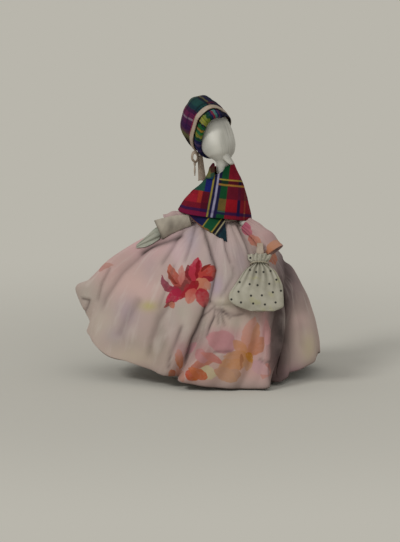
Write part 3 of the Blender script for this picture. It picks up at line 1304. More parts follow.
class OBJECT_OT_doll_bonnet(bpy.types.Operator):
    """Plaid poke bonnet: puffed crown, stuffed brim, ribbon band and ties"""

    bl_idname = "object.doll_bonnet"
    bl_label = "Bonnet"

    def execute(self, context):
        settings = context.scene.doll_bonnet
        wool = wool_twill("plaid_wool_twill")
        silk = silk_ribbon(settings)
        self.crown(wool)
        self.brim(settings, wool, context.scene.doll_pipe)
        self.band(silk)
        self.tie_loop(silk)
        self.tie_tail(silk)
        self.tie_twist(silk)
        return {"FINISHED"}

    def crown(self, wool):
        place = np.unique(np.concatenate([[0, 0.01], np.linspace(0.02, 1, 66)]))[:, None]
        angle = once_round(300)[None, :]
        points = on_bonnet(*crown_surface(place, angle))
        points[:-1] += normals(points, True)[:-1] * (0.16 * uneven(points[:-1], 9))[..., None]
        out = outward(points)
        out[-1] = leaning_back(BONNET_LEAN)
        points[-1] = to_bonnet(0, 0, -BONNET["depth"])
        thin = wall_shares(len(points))
        thin[-1] = 1
        half = out * (BONNET["wall"] / 2 * thin)[:, None, None]
        loop = np.concatenate([points + half, (points - half)[::-1]])
        clock = clock_of(angle)
        depth, _ = crown_outline(place)
        drift = 3 * np.sin(7 * depth + 0.6) + 4 * depth
        dye = striped(clock + drift + 2.2 * uneven(points, 13), CROWN_STRIPES, 1.6)
        dye = patched(dye, *np.broadcast_arrays(clock, depth), CROWN_BANDS, 0.012)
        shade = 0.55 * bump(depth, 0.0, 0.05) + 0 * clock
        values = {key: np.concatenate([v, v[::-1]]) for key, v in (("dye", dye), ("shade", shade))}
        down = np.linspace(0, 45, len(points))
        chart = round_chart(120, angle.size, np.concatenate([down, down[::-1], down[:1]]))
        part = grid_part(loop, chart, True, True, values=values)
        crown = make_piece("crown", [part], wool, "bonnet", "bonnet_crown", True)

    def outside_bowl(self, x, y, pipe_settings):
        """Moves places in the bonnet's plane out of the bowl's outline there, an oval."""
        points, _, _, outer = pipe_surface(pipe_settings)
        points = points[outer > 0] - to_bonnet(0, 0, 0)
        upward, face = (to_bonnet(*row) - to_bonnet(0, 0, 0) for row in ((0, 1, 0), (0, 0, 1)))
        near = points[(points @ face) < SEAT_GAP + BRIM["depth"]]
        near = near[near[:, 2] > -8] @ upward
        middle = (near.min() + near.max()) / 2
        half_width = max(radius for _, radius in PIPE_OUTLINE) + SLIP_GAP
        half_height = (near.max() - near.min()) / 2 + SLIP_GAP
        inside = np.hypot(x / half_width, (y - middle) / half_height)
        push = np.maximum(1, 1 / np.maximum(inside, 0.2))
        return x * push, middle + (y - middle) * push

    def brim(self, settings, wool, pipe_settings):
        angle = once_round(520)[:, None]
        section = once_round(44)[None, :]
        sway = 0.9 * np.sin(3 * angle + 1) + 0.5 * np.sin(7 * angle)
        ridge = np.abs(np.cos(settings.gathers / 2 * angle + sway)) ** 0.8
        pleat = BRIM["pleat"] * (ridge - 0.7) + 0.05 * np.cos(61 * angle)
        half_roll, half_depth = BRIM["width"] / 2, BRIM["depth"] / 2
        square = squared_off(np.cos(section), 0.7)
        deep = squared_off(np.sin(section), 0.8)
        out = (half_roll + pleat + BRIM["full"]) * square - half_roll + SEAT_GAP + BRIM["full"]
        # The roll thins away on the right, where the bowl stands in front of it
        full = 1 - BRIM["thin_right"] * smoothstep(0.35, 0.95, np.cos(angle + 0.15))
        x, y, z = askew(
            (BONNET["half_width"] + out) * np.cos(angle),
            (BONNET["half_height"] + out) * np.sin(angle),
            SEAT_GAP + (half_depth + (half_depth + pleat - 0.1) * deep) * full,
        )
        points = to_bonnet(*self.outside_bowl(x, y, pipe_settings), z)
        dye = striped(clock_of(angle) + 3.0 * uneven(points, 5), BRIM_STRIPES, 0.7)
        dye = dyed_flecks(dye, 0.9 * np.clip(uneven(points + 40, 2.6) - 0.35, 0, 1), "#3a4a70")
        shade = 0.6 * (1 - smoothstep(0.05, 0.4, ridge)) + 0 * section
        chart = round_chart(16, section.size, np.linspace(0, 122, angle.size + 1))
        part = grid_part(points, chart, True, True, values={"dye": dye, "shade": shade})
        brim = make_piece("brim", [part], wool, "bonnet", "bonnet_brim")

    def band(self, silk):
        angle = once_round(480)[None, :]
        i = rounded_edge(24, 0.03)[:, None]
        widest = table(CROWN_OUTLINE_SHARES, RIBBON["width"] / BONNET["depth"])
        edge = np.abs(2 * i - 1) ** 3
        ruffle = 0.5 * np.cos(RIBBON["waves"] * angle) * edge + 0.4 * np.sin(5 * angle + 4 * i)
        lift = BONNET["wall"] / 2 + SEAT_GAP + RIBBON["wall"] / 2 + RIBBON["ruffle"] * (1 + ruffle)
        x, y, _ = crown_surface(0.0, angle, lift, 0.0)
        grow = 1 + (widest - 1) * i
        z = RIBBON["overlap"] - RIBBON["width"] * i + 0.1 * np.sin(9 * angle)
        points = on_bonnet(x * grow, y * grow, z)
        shade = 0.22 * bump(i, 0.95, 0.12) + 0.12 * np.clip(np.cos(11 * angle + 3 * i), 0, 1)
        chart = round_chart(125, angle.size, RIBBON["width"] * i)
        part = cloth_tube(points, RIBBON["wall"], chart, {"shade": shade})
        make_piece("ribbon_band", [part], silk, "bonnet", "bonnet_ribbon_band")

    def tie_loop(self, silk):
        top = on_band(TIE_LOOP["clock"], SEAT_GAP + RIBBON["wall"])
        angle = once_round(120)[:, None]
        section = once_round(20)[None, :]
        wide = TIE_LOOP["half_width"] * squared_off(np.cos(section), 0.35)
        thick = TIE_LOOP["half_wall"] * squared_off(np.sin(section), 0.6)
        points = np.stack(np.broadcast_arrays(
            top[0] + (TIE_LOOP["across"] + 0.4 * wide + thick) * np.cos(angle),
            top[1] + 0.85 * wide * (1 + 0.12 * np.cos(2 * angle)),
            top[2] - TIE_LOOP["drop"] + (TIE_LOOP["down"] + 0.55 * wide + thick) * np.sin(angle)
            + 0.2 * np.cos(3 * angle),
        ), axis=-1)
        chart = round_chart(7, section.size, np.linspace(0, TIE_LOOP["length"], angle.size + 1))
        part = grid_part(points, chart, True, True)
        make_piece("tie_loop", [part], silk, "bonnet", "bonnet_tie_loop")

    def tie_tail(self, silk):
        top = on_band(TIE_TAIL["clock"], SEAT_GAP + RIBBON["wall"])
        i = rounded_edge(60, 0.01)[:, None]
        j = rounded_edge(24, 0.02)[None, :]
        width = TIE_TAIL["top"] + TIE_TAIL["widening"] * i ** 1.2
        curl = 0.8 * np.sin(math.pi * i) + 0.5 * np.sin(TAU * (j + 0.3 * i)) * (0.6 + 0.4 * i)
        points = np.stack(np.broadcast_arrays(
            top[0] + TIE_TAIL["sway"] * i + width * (j - 0.5),
            top[1] + curl,
            top[2] - SEAT_GAP - TIE_TAIL["length"] * i + 0.5 * i * np.sin(math.pi * j * 1.5),
        ), axis=-1)
        part = cloth_panel(points, RIBBON["wall"] * 0.8, even_chart(points, False))
        make_piece("tie_tail", [part], silk, "bonnet", "bonnet_tie_tail")

    def tie_twist(self, silk):
        top = on_band(TIE_TWIST["clock"], 2 * SEAT_GAP + RIBBON["wall"])
        s = np.linspace(0, 1, 60)[:, None]
        turn = TAU * TIE_TWIST["turns"] * s
        section = once_round(16)[None, :]
        wide = TIE_TWIST["half_width"] * (1 - s / 2) * squared_off(np.cos(section), 0.5)
        thick = TIE_TWIST["half_wall"] * squared_off(np.sin(section), 0.7)
        rings = np.stack(np.broadcast_arrays(
            top[0] + wide * np.cos(turn) - thick * np.sin(turn),
            top[1] + wide * np.sin(turn) + thick * np.cos(turn),
            top[2] - TIE_TWIST["drop"] - RIBBON["wall"] - TIE_TWIST["length"] * s,
        ), axis=-1)
        part = capped_tube(rings, round_chart(5, section.size, TIE_TWIST["length"] * s))
        make_piece("tie_twist", [part], silk, "bonnet", "bonnet_tie_twist", True)


# The skirts
SKIRT = {
    "waist": 10.5, "waist_top": 112.5, "bell_top": 107.5, "hem": 68.0, "lift": 54.0, "floor_gap": 0.5,
    "wall": 1.2, "fold": 24.0, "ruffle": 0.5,
}
HEM_SHARES = (
    (-180, 0.735, 0.01), (-155, 0.79, 0.03), (-130, 0.98, 0.2), (-111, 1.25, 0.66), (-98, 1.47, 1),
    (-90, 1.41, 0.63), (-78, 1.32, 0.53), (-65, 1.21, 0.39), (-50, 1.08, 0.26), (-35, 1, 0.15),
    (-22, 1, 0.09), (-10, 0.995, 0.045), (5, 0.985, 0.02), (18, 0.99, 0.005), (27, 1.05, 0.025),
    (45, 0.95, 0.03), (60, 0.93, 0.1), (75, 0.95, 0.2), (90, 1.01, 0.25), (110, 1.03, 0.15),
    (135, 0.9, 0.02), (160, 0.77, 0),
)
BELL_SHARES = (
    (-98, 1.7, 1.25), (-60, 1.5, 1.5), (0, 1.35, 1.9), (55, 1.22, 2), (90, 1.2, 2), (180, 1.3, 1.7),
)
FLOW_ANGLES = (
    (-180, 0, 0), (-130, 0, 0), (-98, 5, 10), (-90, 3, 9), (-62, -4, 0), (-48, 3, 0), (-30, 22, 0),
    (-20, 23, 2), (5, 19, 3), (27, 25, 13), (34, 28, 18), (45, 24, 17), (60, 17, 13), (90, 6, 5),
    (135, 3, 3),
)
SKIRT_FOLD_SHARES = (
    (34, 4.4, 1, 0.28), (26, 3.6, -0.1, 0.3), (-31, 3.2, 0.34, 0.12), (-24, 4.5, -0.12, 0.15),
    (-47, 6, 0.2, 0.2), (-62, 6, 0.14, 0.1), (-76, 5, -0.08, 0.3), (-91, 3, 0.2, 0.55),
    (-104, 6, -0.1, 0.4), (-4, 5, 0.08, 0.1), (10, 4, 0.1, 0.1), (58, 5, 0.12, 0.25),
    (74, 5, -0.1, 0.2), (92, 6, 0.14, 0.2), (112, 7, 0.2, 0.15), (135, 7, 0.22, 0.15),
    (157, 6, 0.22, 0.12), (179, 6, 0.22, 0.12), (-158, 6, 0.22, 0.12), (-137, 7, 0.22, 0.15),
    (-118, 6, 0.2, 0.2),
)
PETTICOAT = {
    "bell_top": 105.5, "top": 111.0, "hem": 39.0, "room": 1.0, "wall": 0.7, "flat_cut": 0.5, "fullness": 1.5,
    "folds": 14, "fold": 1.5, "top_share": 1 / 6,
}
WAIST_THREAD = {"radius": 0.7, "height": 110.0, "apart": 0.55}
# Creases, in steps of the front view: half width there, depth and height of the proud
# side in millimetres, how dark they are, and the line that they follow
SKIRT_CREASES = (
    (1.7, 1.5, 0.9, 0.75,
     ((203, 222), (206, 236), (211, 253), (216, 270), (213, 286), (209, 304), (206, 312))),
    (1.7, 1.6, 0.7, 0.9, ((207, 300), (203, 314), (197, 328), (192, 338), (188, 352), (184, 366))),
    (1.4, 1.0, 0.5, 0.55, ((184, 322), (178, 336), (171, 352), (168, 372))),
    (1.2, 0.8, 0.4, 0.5, ((216, 314), (211, 324), (206, 338))),
    (7.0, 3.4, 0.0, 0.9, ((275, 296), (278, 320), (279, 345), (277, 384))),
    (3.0, 2.0, 0.6, 0.6, ((285, 252), (287, 275), (284, 300), (280, 320))),
    (1.3, 0.7, 0.3, 0.3, ((205, 298), (215, 304), (245, 305), (262, 302))),
    (1.0, 0.4, 0.2, 0.45, ((212, 351), (222, 350), (234, 351))),
    (1.1, 0.5, 0.2, 0.4, ((257, 357), (263, 361), (270, 361))),
    (1.2, 0.6, 0.2, 0.5, ((219, 309), (229, 314), (236, 315), (246, 312))),
    (0.9, 0.5, 0.2, 0.5, ((216, 305), (209, 312), (201, 318))),
    (0.9, 0.5, 0.2, 0.5, ((216, 306), (213, 318), (208, 331))),
    (0.9, 0.5, 0.2, 0.45, ((217, 306), (218, 315), (218, 325))),
    (0.9, 0.5, 0.2, 0.45, ((218, 306), (222, 316), (225, 327))),
    (0.9, 0.5, 0.2, 0.4, ((219, 306), (225, 313), (232, 320))),
    (2.6, 1.1, 0.6, 0.3, ((176, 296), (160, 318), (152, 340), (149, 362))),
    (3.0, 1.2, 0.6, 0.35, ((181, 224), (150, 248), (123, 272), (106, 298), (100, 316))),
    (3.6, 1.3, 0.5, 0.25, ((142, 296), (130, 316), (118, 340))),
    (1.5, 0.9, 0.4, 0.3, ((112, 266), (103, 283), (97, 304))),
    (1.2, 0.8, 0.4, 0.6, ((80, 298), (90, 300), (88, 307), (84, 314))),
    (1.6, 1.0, 0.5, 0.35, ((197, 222), (191, 245), (184, 266))),
    (1.6, 1.0, 0.5, 0.35, ((222, 222), (226, 250), (232, 268))),
    (1.6, 1.1, 0.5, 0.5, ((236, 222), (246, 245), (251, 262))),
    (1.4, 1.0, 0.5, 0.45, ((244, 222), (253, 236), (262, 250))),
    (1.8, 1.0, 0.4, 0.35, ((186, 228), (172, 250), (160, 268))),
    (2.0, 0.6, 0.3, 0.7, ((186, 235), (170, 242), (150, 249), (138, 256))),
    (2.6, 1.0, 0.5, 0.12, ((294, 290), (299, 322), (301, 352))),
    (1.4, 0.8, 0.4, 0.3, ((176, 262), (166, 290), (158, 312))),
    (2.2, 0.7, 0.4, 0.25, ((233, 264), (234, 276), (226, 290), (219, 300))),
)
# Where the cloth hangs off the even bell: place, spread, and how far right and down
SKIRT_PULLS = (
    (287, 338, 20, 32, -16.0, 0.0), (283, 372, 14, 12, -7.0, -3.0), (115, 345, 30, 16, -2.0, 9.0),
    (152, 364, 16, 12, 0.0, 3.0), (90, 271, 10, 10, 1.5, 3.0), (77, 288, 8, 9, -3.5, -4.5),
)
SKIRT_WASHES = (
    (150, 246, 32, 18, "#c49c9c", 0.9), (105, 268, 30, 14, "#bd9993", 0.85),
    (88, 292, 14, 16, "#a39d90", 0.9), (138, 288, 36, 16, "#c2a299", 0.85),
    (102, 325, 22, 20, "#ada192", 0.9), (128, 312, 12, 16, "#9b8b92", 0.7),
    (118, 336, 12, 10, "#9a8d94", 0.6), (142, 354, 36, 12, "#ada08c", 0.9),
    (130, 343, 22, 8, "#998c80", 0.6), (150, 306, 9, 5, "#a59c5e", 0.9),
    (192, 240, 9, 20, "#a3959e", 0.8), (176, 252, 10, 20, "#bfa3a7", 0.8),
    (168, 266, 9, 18, "#a8938c", 0.7), (150, 268, 8, 20, "#a58f90", 0.5),
    (182, 312, 14, 10, "#a0988a", 0.8), (162, 337, 8, 30, "#857a6e", 0.85),
    (173, 322, 6, 20, "#a89c94", 0.7), (186, 328, 6, 18, "#b0a69a", 0.7),
    (180, 344, 4, 18, "#84786e", 0.7), (222, 250, 16, 24, "#b5a29f", 0.8),
    (240, 262, 7, 16, "#8f8286", 0.7), (212, 262, 6, 26, "#a0908f", 0.6),
    (229, 280, 10, 18, "#a69a92", 0.8), (216, 288, 8, 14, "#a08f9c", 0.8),
    (225, 302, 14, 8, "#b1a892", 0.9), (236, 322, 24, 9, "#b2a795", 0.9),
    (222, 338, 18, 10, "#b67f86", 1.0), (248, 346, 18, 26, "#be9690", 0.9),
    (264, 335, 6, 32, "#c08f8e", 0.9), (203, 330, 6, 20, "#948a80", 0.8),
    (198, 345, 7, 12, "#8c7a74", 0.7), (205, 354, 10, 9, "#a87474", 0.9),
    (228, 368, 28, 10, "#b28e7c", 0.9), (195, 374, 20, 9, "#b0867c", 0.9),
    (182, 352, 8, 14, "#b08688", 0.8), (258, 366, 12, 12, "#b98f8a", 0.9),
    (236, 322, 6, 6, "#b3a99a", 0.6), (285, 262, 11, 18, "#6f6164", 1.0),
    (287, 290, 12, 30, "#4c3e42", 1.0), (280, 322, 10, 36, "#231a1c", 1.0),
    (277, 352, 8, 36, "#1f1719", 1.0), (276, 372, 7, 14, "#4a232a", 1.0),
    (299, 288, 7, 22, "#6d5c5e", 0.8), (302, 334, 10, 34, "#c6b0a4", 1.0),
    (304, 302, 5, 20, "#8f7c76", 0.8), (308, 347, 7, 14, "#bdb092", 0.9),
    (294, 374, 12, 9, "#b48c92", 0.9), (299, 320, 7, 8, "#d0b4ac", 0.8),
    (262, 230, 14, 10, "#ac908e", 0.6),
)


def pulled(points, facing_share, pulls):
    """Moves the front of a surface sideways and down in steps of the front view, most
    at the middle of each pull and less by exp(-(x/a)^2 - (y/b)^2) around it."""
    x, y = front_view(points)
    moved = points.copy()
    for cx, cy, a, b, right, down in pulls:
        share = np.exp(-(((x - cx) / a) ** 2) - ((y - cy) / b) ** 2) * facing_share
        moved[..., 0] += right * VIEW_STEP * share
        moved[..., 2] -= down * VIEW_STEP * share
    return moved


def bell_shares(s, side, top):
    """Reach and height of a superellipse bell at share s: sin(q)^(2/a) and cos(q)^(2/b)."""
    quarter = s * math.pi / 2
    level = np.minimum(quarter, math.pi / 2 - NEARLY)
    return np.sin(quarter) ** (2 / side), np.cos(level) ** (2 / top)


def skirt_point(s, hem_angle, gathers):
    """Skirt at share s down from the waist: a bell, less the folds, which deepen towards
    the hem, with fine gathers at the waist."""
    reach, lift = (table(HEM_SHARES, hem_angle, k, True) for k in (1, 2))
    hem_height = SKIRT["floor_gap"] + SKIRT["lift"] * np.maximum(0, lift)
    middle, top = (table(FLOW_ANGLES, hem_angle, k, True) for k in (1, 2))
    angle = np.radians(hem_angle + top * (1 - 2 * s) * (1 - s) + middle * 4 * s * (1 - s))
    out, fall = bell_shares(s, *(table(BELL_SHARES, hem_angle, k, True) for k in (1, 2)))
    fold = np.zeros(np.broadcast(s, hem_angle).shape)
    for at, width, share, begin in SKIRT_FOLD_SHARES:
        away = np.mod(hem_angle - at + 540, 360) - 180
        fold = fold + share * smoothstep(begin, 1, s) * bump(away, 0, width)
    coarse = 0.7 * np.sin(math.pi * np.minimum(1, 2.5 * s)) * np.cos(22 * angle)
    pleats = np.abs(np.cos(gathers / 2 * angle + 0.7 * np.sin(9 * angle)))
    fine = 0.42 * (1 - smoothstep(0.1, 0.55, s)) * pleats * smoothstep(-0.01, 0.06, s)
    reach = SKIRT["waist"] + (SKIRT["hem"] * reach - SKIRT["waist"]) * out - fold * SKIRT["fold"] * out
    reach = reach + coarse + fine
    height = hem_height + (SKIRT["bell_top"] - hem_height) * fall
    return np.stack([reach * np.sin(angle), -reach * np.cos(angle), height + 0 * angle], axis=-1)


def skirt_surface(settings, columns=400, rows=100, top_rows=7):
    """Skirt's middle surface, its UV in millimetres of cloth, and its creases' shade."""
    fine = np.linspace(-180, 180, 1441)
    walked = walked_along(skirt_point(np.ones(fine.size), fine, 0))
    around = np.linspace(0, walked[-1], columns + 1)
    hem_angle = np.interp(around[:-1], walked, fine)
    s = np.concatenate([np.linspace(0, 0.06, 8)[:-1], np.linspace(0.06, 0.99, rows - 10), [0.996, 1]])
    points = skirt_point(s[:, None], hem_angle[None, :], settings.gathers)
    # The waist stands up above the thread as a short ruffled collar
    top = np.repeat(points[:1], top_rows, axis=0)
    top[..., 2] = np.linspace(SKIRT["waist_top"], SKIRT["bell_top"] + 0.3, top_rows)[:, None]
    pleats = np.abs(np.cos(settings.gathers / 2 * np.radians(hem_angle)))
    ruffle = np.linspace(1, 0, top_rows)[:, None] * SKIRT["ruffle"] * pleats
    top[..., :2] *= (1 + ruffle / SKIRT["waist"])[..., None]
    points = np.concatenate([top, points[1:]])
    s = np.concatenate([np.zeros(top_rows), s[1:]])[:, None]
    out = outward(points)
    facing_share = smoothstep(-0.5, -0.1, out @ VIEW_FROM)
    points = pulled(points, facing_share, SKIRT_PULLS)
    points, shade = creased(points, out, facing_share, SKIRT_CREASES)
    swell = smoothstep(0.25, 0.8, s) * smoothstep(0, 0.05, 1 - s)
    points = points + out * ((0.35 * uneven(points, 34) + 0.12 * uneven(points, 11)) * swell)[..., None]
    points[..., 2] = np.maximum(points[..., 2], SKIRT["floor_gap"] + SKIRT["wall"] / 2)
    length = np.linalg.norm(np.diff(points, axis=0), axis=-1).mean(axis=1)
    down = np.concatenate([[0], np.cumsum(length)])
    return points, chart_of(around[None, :], down[:, None]), shade


def petticoat_surface():
    """Petticoat: a straight gathered top and a bell with even folds below it."""
    angle = once_round(300)[None, :]
    i = np.linspace(0, 1, 90)[:, None]
    share = PETTICOAT["top_share"]
    s = np.maximum(0, (i - share) / (1 - share))
    waist = SKIRT["waist"] - SKIRT["wall"] / 2 - SEAT_GAP - PETTICOAT["room"] / 2
    out, fall = bell_shares(s, PETTICOAT["fullness"], PETTICOAT["fullness"])
    fold = PETTICOAT["fold"] * s * np.cos(PETTICOAT["folds"] * angle)
    fold = fold + 0.35 * (1 - s) * np.cos(40 * angle) * (i > 0.05)
    reach = waist + (PETTICOAT["hem"] - waist) * out + fold
    straight = PETTICOAT["top"] + (PETTICOAT["bell_top"] - PETTICOAT["top"]) * i / share
    height = np.where(i < share, straight, PETTICOAT["bell_top"] * fall - PETTICOAT["flat_cut"] * s)
    points = np.stack([reach * np.cos(angle), reach * np.sin(angle), height + 0 * angle], axis=-1)
    points[..., 2] = np.maximum(points[..., 2], PETTICOAT["wall"] / 2)
    return points


class OBJECT_OT_doll_skirts(bpy.types.Operator):
    """Wide printed skirt over a plain petticoat, tied at the waist"""

    bl_idname = "object.doll_skirts"
    bl_label = "Skirts"

    def execute(self, context):
        self.skirt(context.scene.doll_skirt)
        self.petticoat()
        self.waist_tie()
        return {"FINISHED"}

    def petticoat(self):
        lawn = plain_cotton("bleached_cotton_lawn", "#bab7ad", "#a9a59a", 0.7)
        points = petticoat_surface()
        part = cloth_tube(points, PETTICOAT["wall"], even_chart(points, True))
        under = make_piece("underskirt", [part], lawn, "dressed_pipe", "petticoat")

    def waist_tie(self):
        radius = SKIRT["waist"] + SKIRT["wall"] / 2 + SEAT_GAP + WAIST_THREAD["radius"]
        ring = once_round(16)
        turns = []
        for lift in (-WAIST_THREAD["apart"], WAIST_THREAD["apart"]):
            height = WAIST_THREAD["height"] + lift + 0 * ring
            line = np.stack([radius * np.cos(ring), radius * np.sin(ring), height], axis=1)
            turns.append(thread_ring(line, WAIST_THREAD["radius"] * 0.85, 360, 60))
        make_piece("waist_tie", turns, linen_thread(), "dressed_pipe", "waist_thread")

    def skirt(self, settings):
        points, chart, shade = skirt_surface(settings)
        view = view_of(points)
        around = np.array(linear(settings.cotton_ground)[:3])
        wash = washed(view[..., 0], view[..., 1], settings.cotton_ground, SKIRT_WASHES)
        # The washes go on a little way round the sides, further than the lilies
        wash = around + (wash - around) * view_of(points, (-0.3, 0.08))[..., 2:]
        hem = bump(np.arange(len(points))[:, None], len(points), 3.4)
        shade = np.clip(shade + (0.25 + 0.5 * smoothstep(340, 378, view[..., 1])) * hem, 0, 1)
        part = cloth_tube(points, SKIRT["wall"], chart, {"wash": wash, "view": view, "shade": shade})
        cotton = printed_cotton(settings)
        skirt = make_piece("printed_skirt", [part], cotton, "dressed_pipe", "skirt")


# The kerchief
KERCHIEF = {"top": 149.0, "drop": 42.0, "reach": 33.0, "wall": 1.0}
KERCHIEF_SHARES = (
    (0, 0.197, 0.206, 0.206, 0.206), (0.19, 0.258, 0.31, 0.224, 0.303), (0.357, 0.41, 0.41, 0.29, 0.41),
    (0.5, 0.62, 0.467, 0.365, 0.54), (0.69, 0.833, 0.533, 0.44, 0.61), (0.88, 0.97, 0.588, 0.5, 0.62),
    (1, 1, 0.606, 0.53, 0.625),
)
NECK_EDGE_SHARES = (
    (-180, 0.05), (-135, 0.12), (-90, 0.2), (-60, 0.2), (-25, 0.19), (0, 0.14), (14, 0.07), (30, 0.06),
    (60, 0.02), (110, 0),
)
LOWER_EDGE_SHARES = (
    (-180, 0.93), (-135, 0.87), (-90, 0.81), (-69, 0.83), (-34, 0.86), (4, 0.9), (52, 0.955), (90, 0.995),
    (135, 0.97),
)
FLAP = {"width": 28.0, "wall": 0.8, "wave": 0.5}
FLAP_UPPER_SHARES = (
    (-0.86, -0.3, -1.22), (-0.64, -0.4, -1.24), (-0.42, -0.435, -1.26), (-0.19, -0.445, -1.28),
    (0.05, -0.44, -1.3),
)
FLAP_LONG_SHARES = (
    (-0.86, -0.3, -1.24), (-0.67, -0.42, -1.45), (-0.5, -0.575, -1.56), (-0.25, -0.79, -1.69),
    (0.11, -0.985, -1.87),
)
COLLAR = {"wall": 0.9, "start": -128.0, "end": -34.0, "bottom_drop": 11.5, "top_drop": 0.5, "wave": 0.25}
COLLAR_EDGE_SHARES = ((0, 0.5), (0.25, 0.55), (0.5, 0.72), (0.75, 1), (0.88, 0.86), (1, 0.25))
COLLAR_STRIPES = (
    (100, "#4a0c1c"), (166.5, "#5a1420"), (170, "#5c5430"), (176, "#2a4434"), (180, "#123a50"),
)
COLLAR_PATCHES = ((211, 230, 150, 173, "#380a18", 0.8), (205, 211, 172, 178, "#6a6a34", 0.6))
# Stripes down the kerchief, by their place across the front view at mid height, how they
# slant there, and its lower edge, from which the cross stripes are measured upwards
KERCHIEF_STRIPES = (
    (170, "#6c1022"), (202, "#4a0a1c"), (208.6, "#17163a"), (209.4, "#8f8136"), (211.0, "#17163a"),
    (213.9, "#948fa6"), (215.9, "#17163a"), (219, "#0d4424"), (226.2, "#74101f"), (237, "#1d1238"),
    (240, "#6a1020"), (243.6, "#9a6034"), (244.9, "#6c1020"),
)
KERCHIEF_SLANTS = ((170, 0.3), (200, 0.19), (212, 0.2), (223, 0.13), (232, 0.1), (240, 0.06), (251, 0.02))
KERCHIEF_EDGE = (
    (165, 205.5), (176.5, 209.6), (186.3, 213.2), (208, 216.5), (224, 219), (251, 221.4), (262, 222),
)
KERCHIEF_MIDDLE = 200.0
KERCHIEF_SPREAD = 75.0
# Patches across it: from and to across, from and to above its edge, tone and strength
KERCHIEF_PATCHES = (
    (170, 203, -40, -24, "#114a3c", 0.95), (203, 209, -40, -24, "#0c1c62", 0.95),
    (170, 202, -24, -19, "#8a1424", 0.8), (170, 197, -20, -12, "#a01c2c", 0.6),
    (197.4, 201.6, -24, -12, "#97301f", 0.9), (202, 208.6, -24, -13, "#5a0c1c", 0.8),
    (219, 226.2, -60, -40, "#0f4a2a", 0.6), (226.2, 252, -60, -40, "#7c1226", 0.7),
    (216, 252, -37.6, -34.6, "#1a0c18", 0.6), (226.2, 252, -33, -19.5, "#5c1024", 0.8),
    (219, 226.2, -19.5, -7.5, "#6b5428", 0.85), (226.2, 237, -19.5, -7.5, "#8e0f1c", 0.95),
    (240, 252, -19.5, -7.5, "#7c1420", 0.7), (170, 252, -6.6, -3.6, "#1a1242", 0.8),
    (170, 209, -3.2, 2, "#6f1238", 0.85), (219, 226.2, -7, -6, "#5a7060", 0.5),
    (226.2, 252, -3.2, 2, "#7c1226", 0.8), (216, 245.5, -39.4, -38.0, "#a08a34", 0.9),
    (216, 245.5, -34.4, -32.6, "#a0742e", 0.9), (213.9, 215.9, -40, -1, "#948fa6", 0.6),
    (209.4, 211, -45, -1, "#8f8136", 0.6),
)
# Stripes across the hanging corner, by their place along its long edge
FLAP_START = (188.4, 213.8)
FLAP_ALONG = (0.79, 0.61)
FLAP_STRIPES = (
    (0, "#22163c"), (9, "#1a1c46"), (18.4, "#8f8136"), (19.6, "#0f4a2c"), (29.4, "#8f7f36"),
    (30.7, "#14121c"), (33.6, "#9a9170"), (34.9, "#151c28"), (38, "#173038"), (46, "#10202a"),
)


def kerchief_reach(drop_share, angle):
    """Kerchief at a share of its drop and an angle in radians: four half ellipses that
    widen downwards, left, right, front and back."""
    sine, cosine = np.sin(angle), np.cos(angle)
    left, right, front, back = (table(KERCHIEF_SHARES, drop_share, k) for k in (1, 2, 3, 4))
    return np.stack(np.broadcast_arrays(
        KERCHIEF["reach"] * np.where(sine < 0, left, right) * sine,
        -KERCHIEF["reach"] * np.where(cosine > 0, front, back) * cosine,
        KERCHIEF["top"] - KERCHIEF["drop"] * drop_share,
    ), axis=-1)


def kerchief_surface(rows=120, columns=330):
    """Kerchief's middle surface, with more columns in front than behind."""
    j = np.linspace(0, 1, columns, endpoint=False)
    degrees_round = np.interp(j, [0, 0.12, 0.88, 1], [-180, -112, 112, 180])
    top = table(NECK_EDGE_SHARES, degrees_round, 1, True)
    low = table(LOWER_EDGE_SHARES, degrees_round, 1, True)
    i = rounded_edge(rows, 0.006)[:, None]
    return kerchief_reach(top + (low - top) * i, np.radians(degrees_round)[None, :]), degrees_round


def check_dye(x, y):
    """Dye of the kerchief's check at front view places, each read across and above the
    lower edge with the stripes' own slant."""
    level = x + np.interp(x, *zip(*KERCHIEF_SLANTS)) * (y - KERCHIEF_MIDDLE)
    up = y - np.interp(x, *zip(*KERCHIEF_EDGE))
    return patched(striped(level, KERCHIEF_STRIPES, 0.35), level, up, KERCHIEF_PATCHES, 0.35)


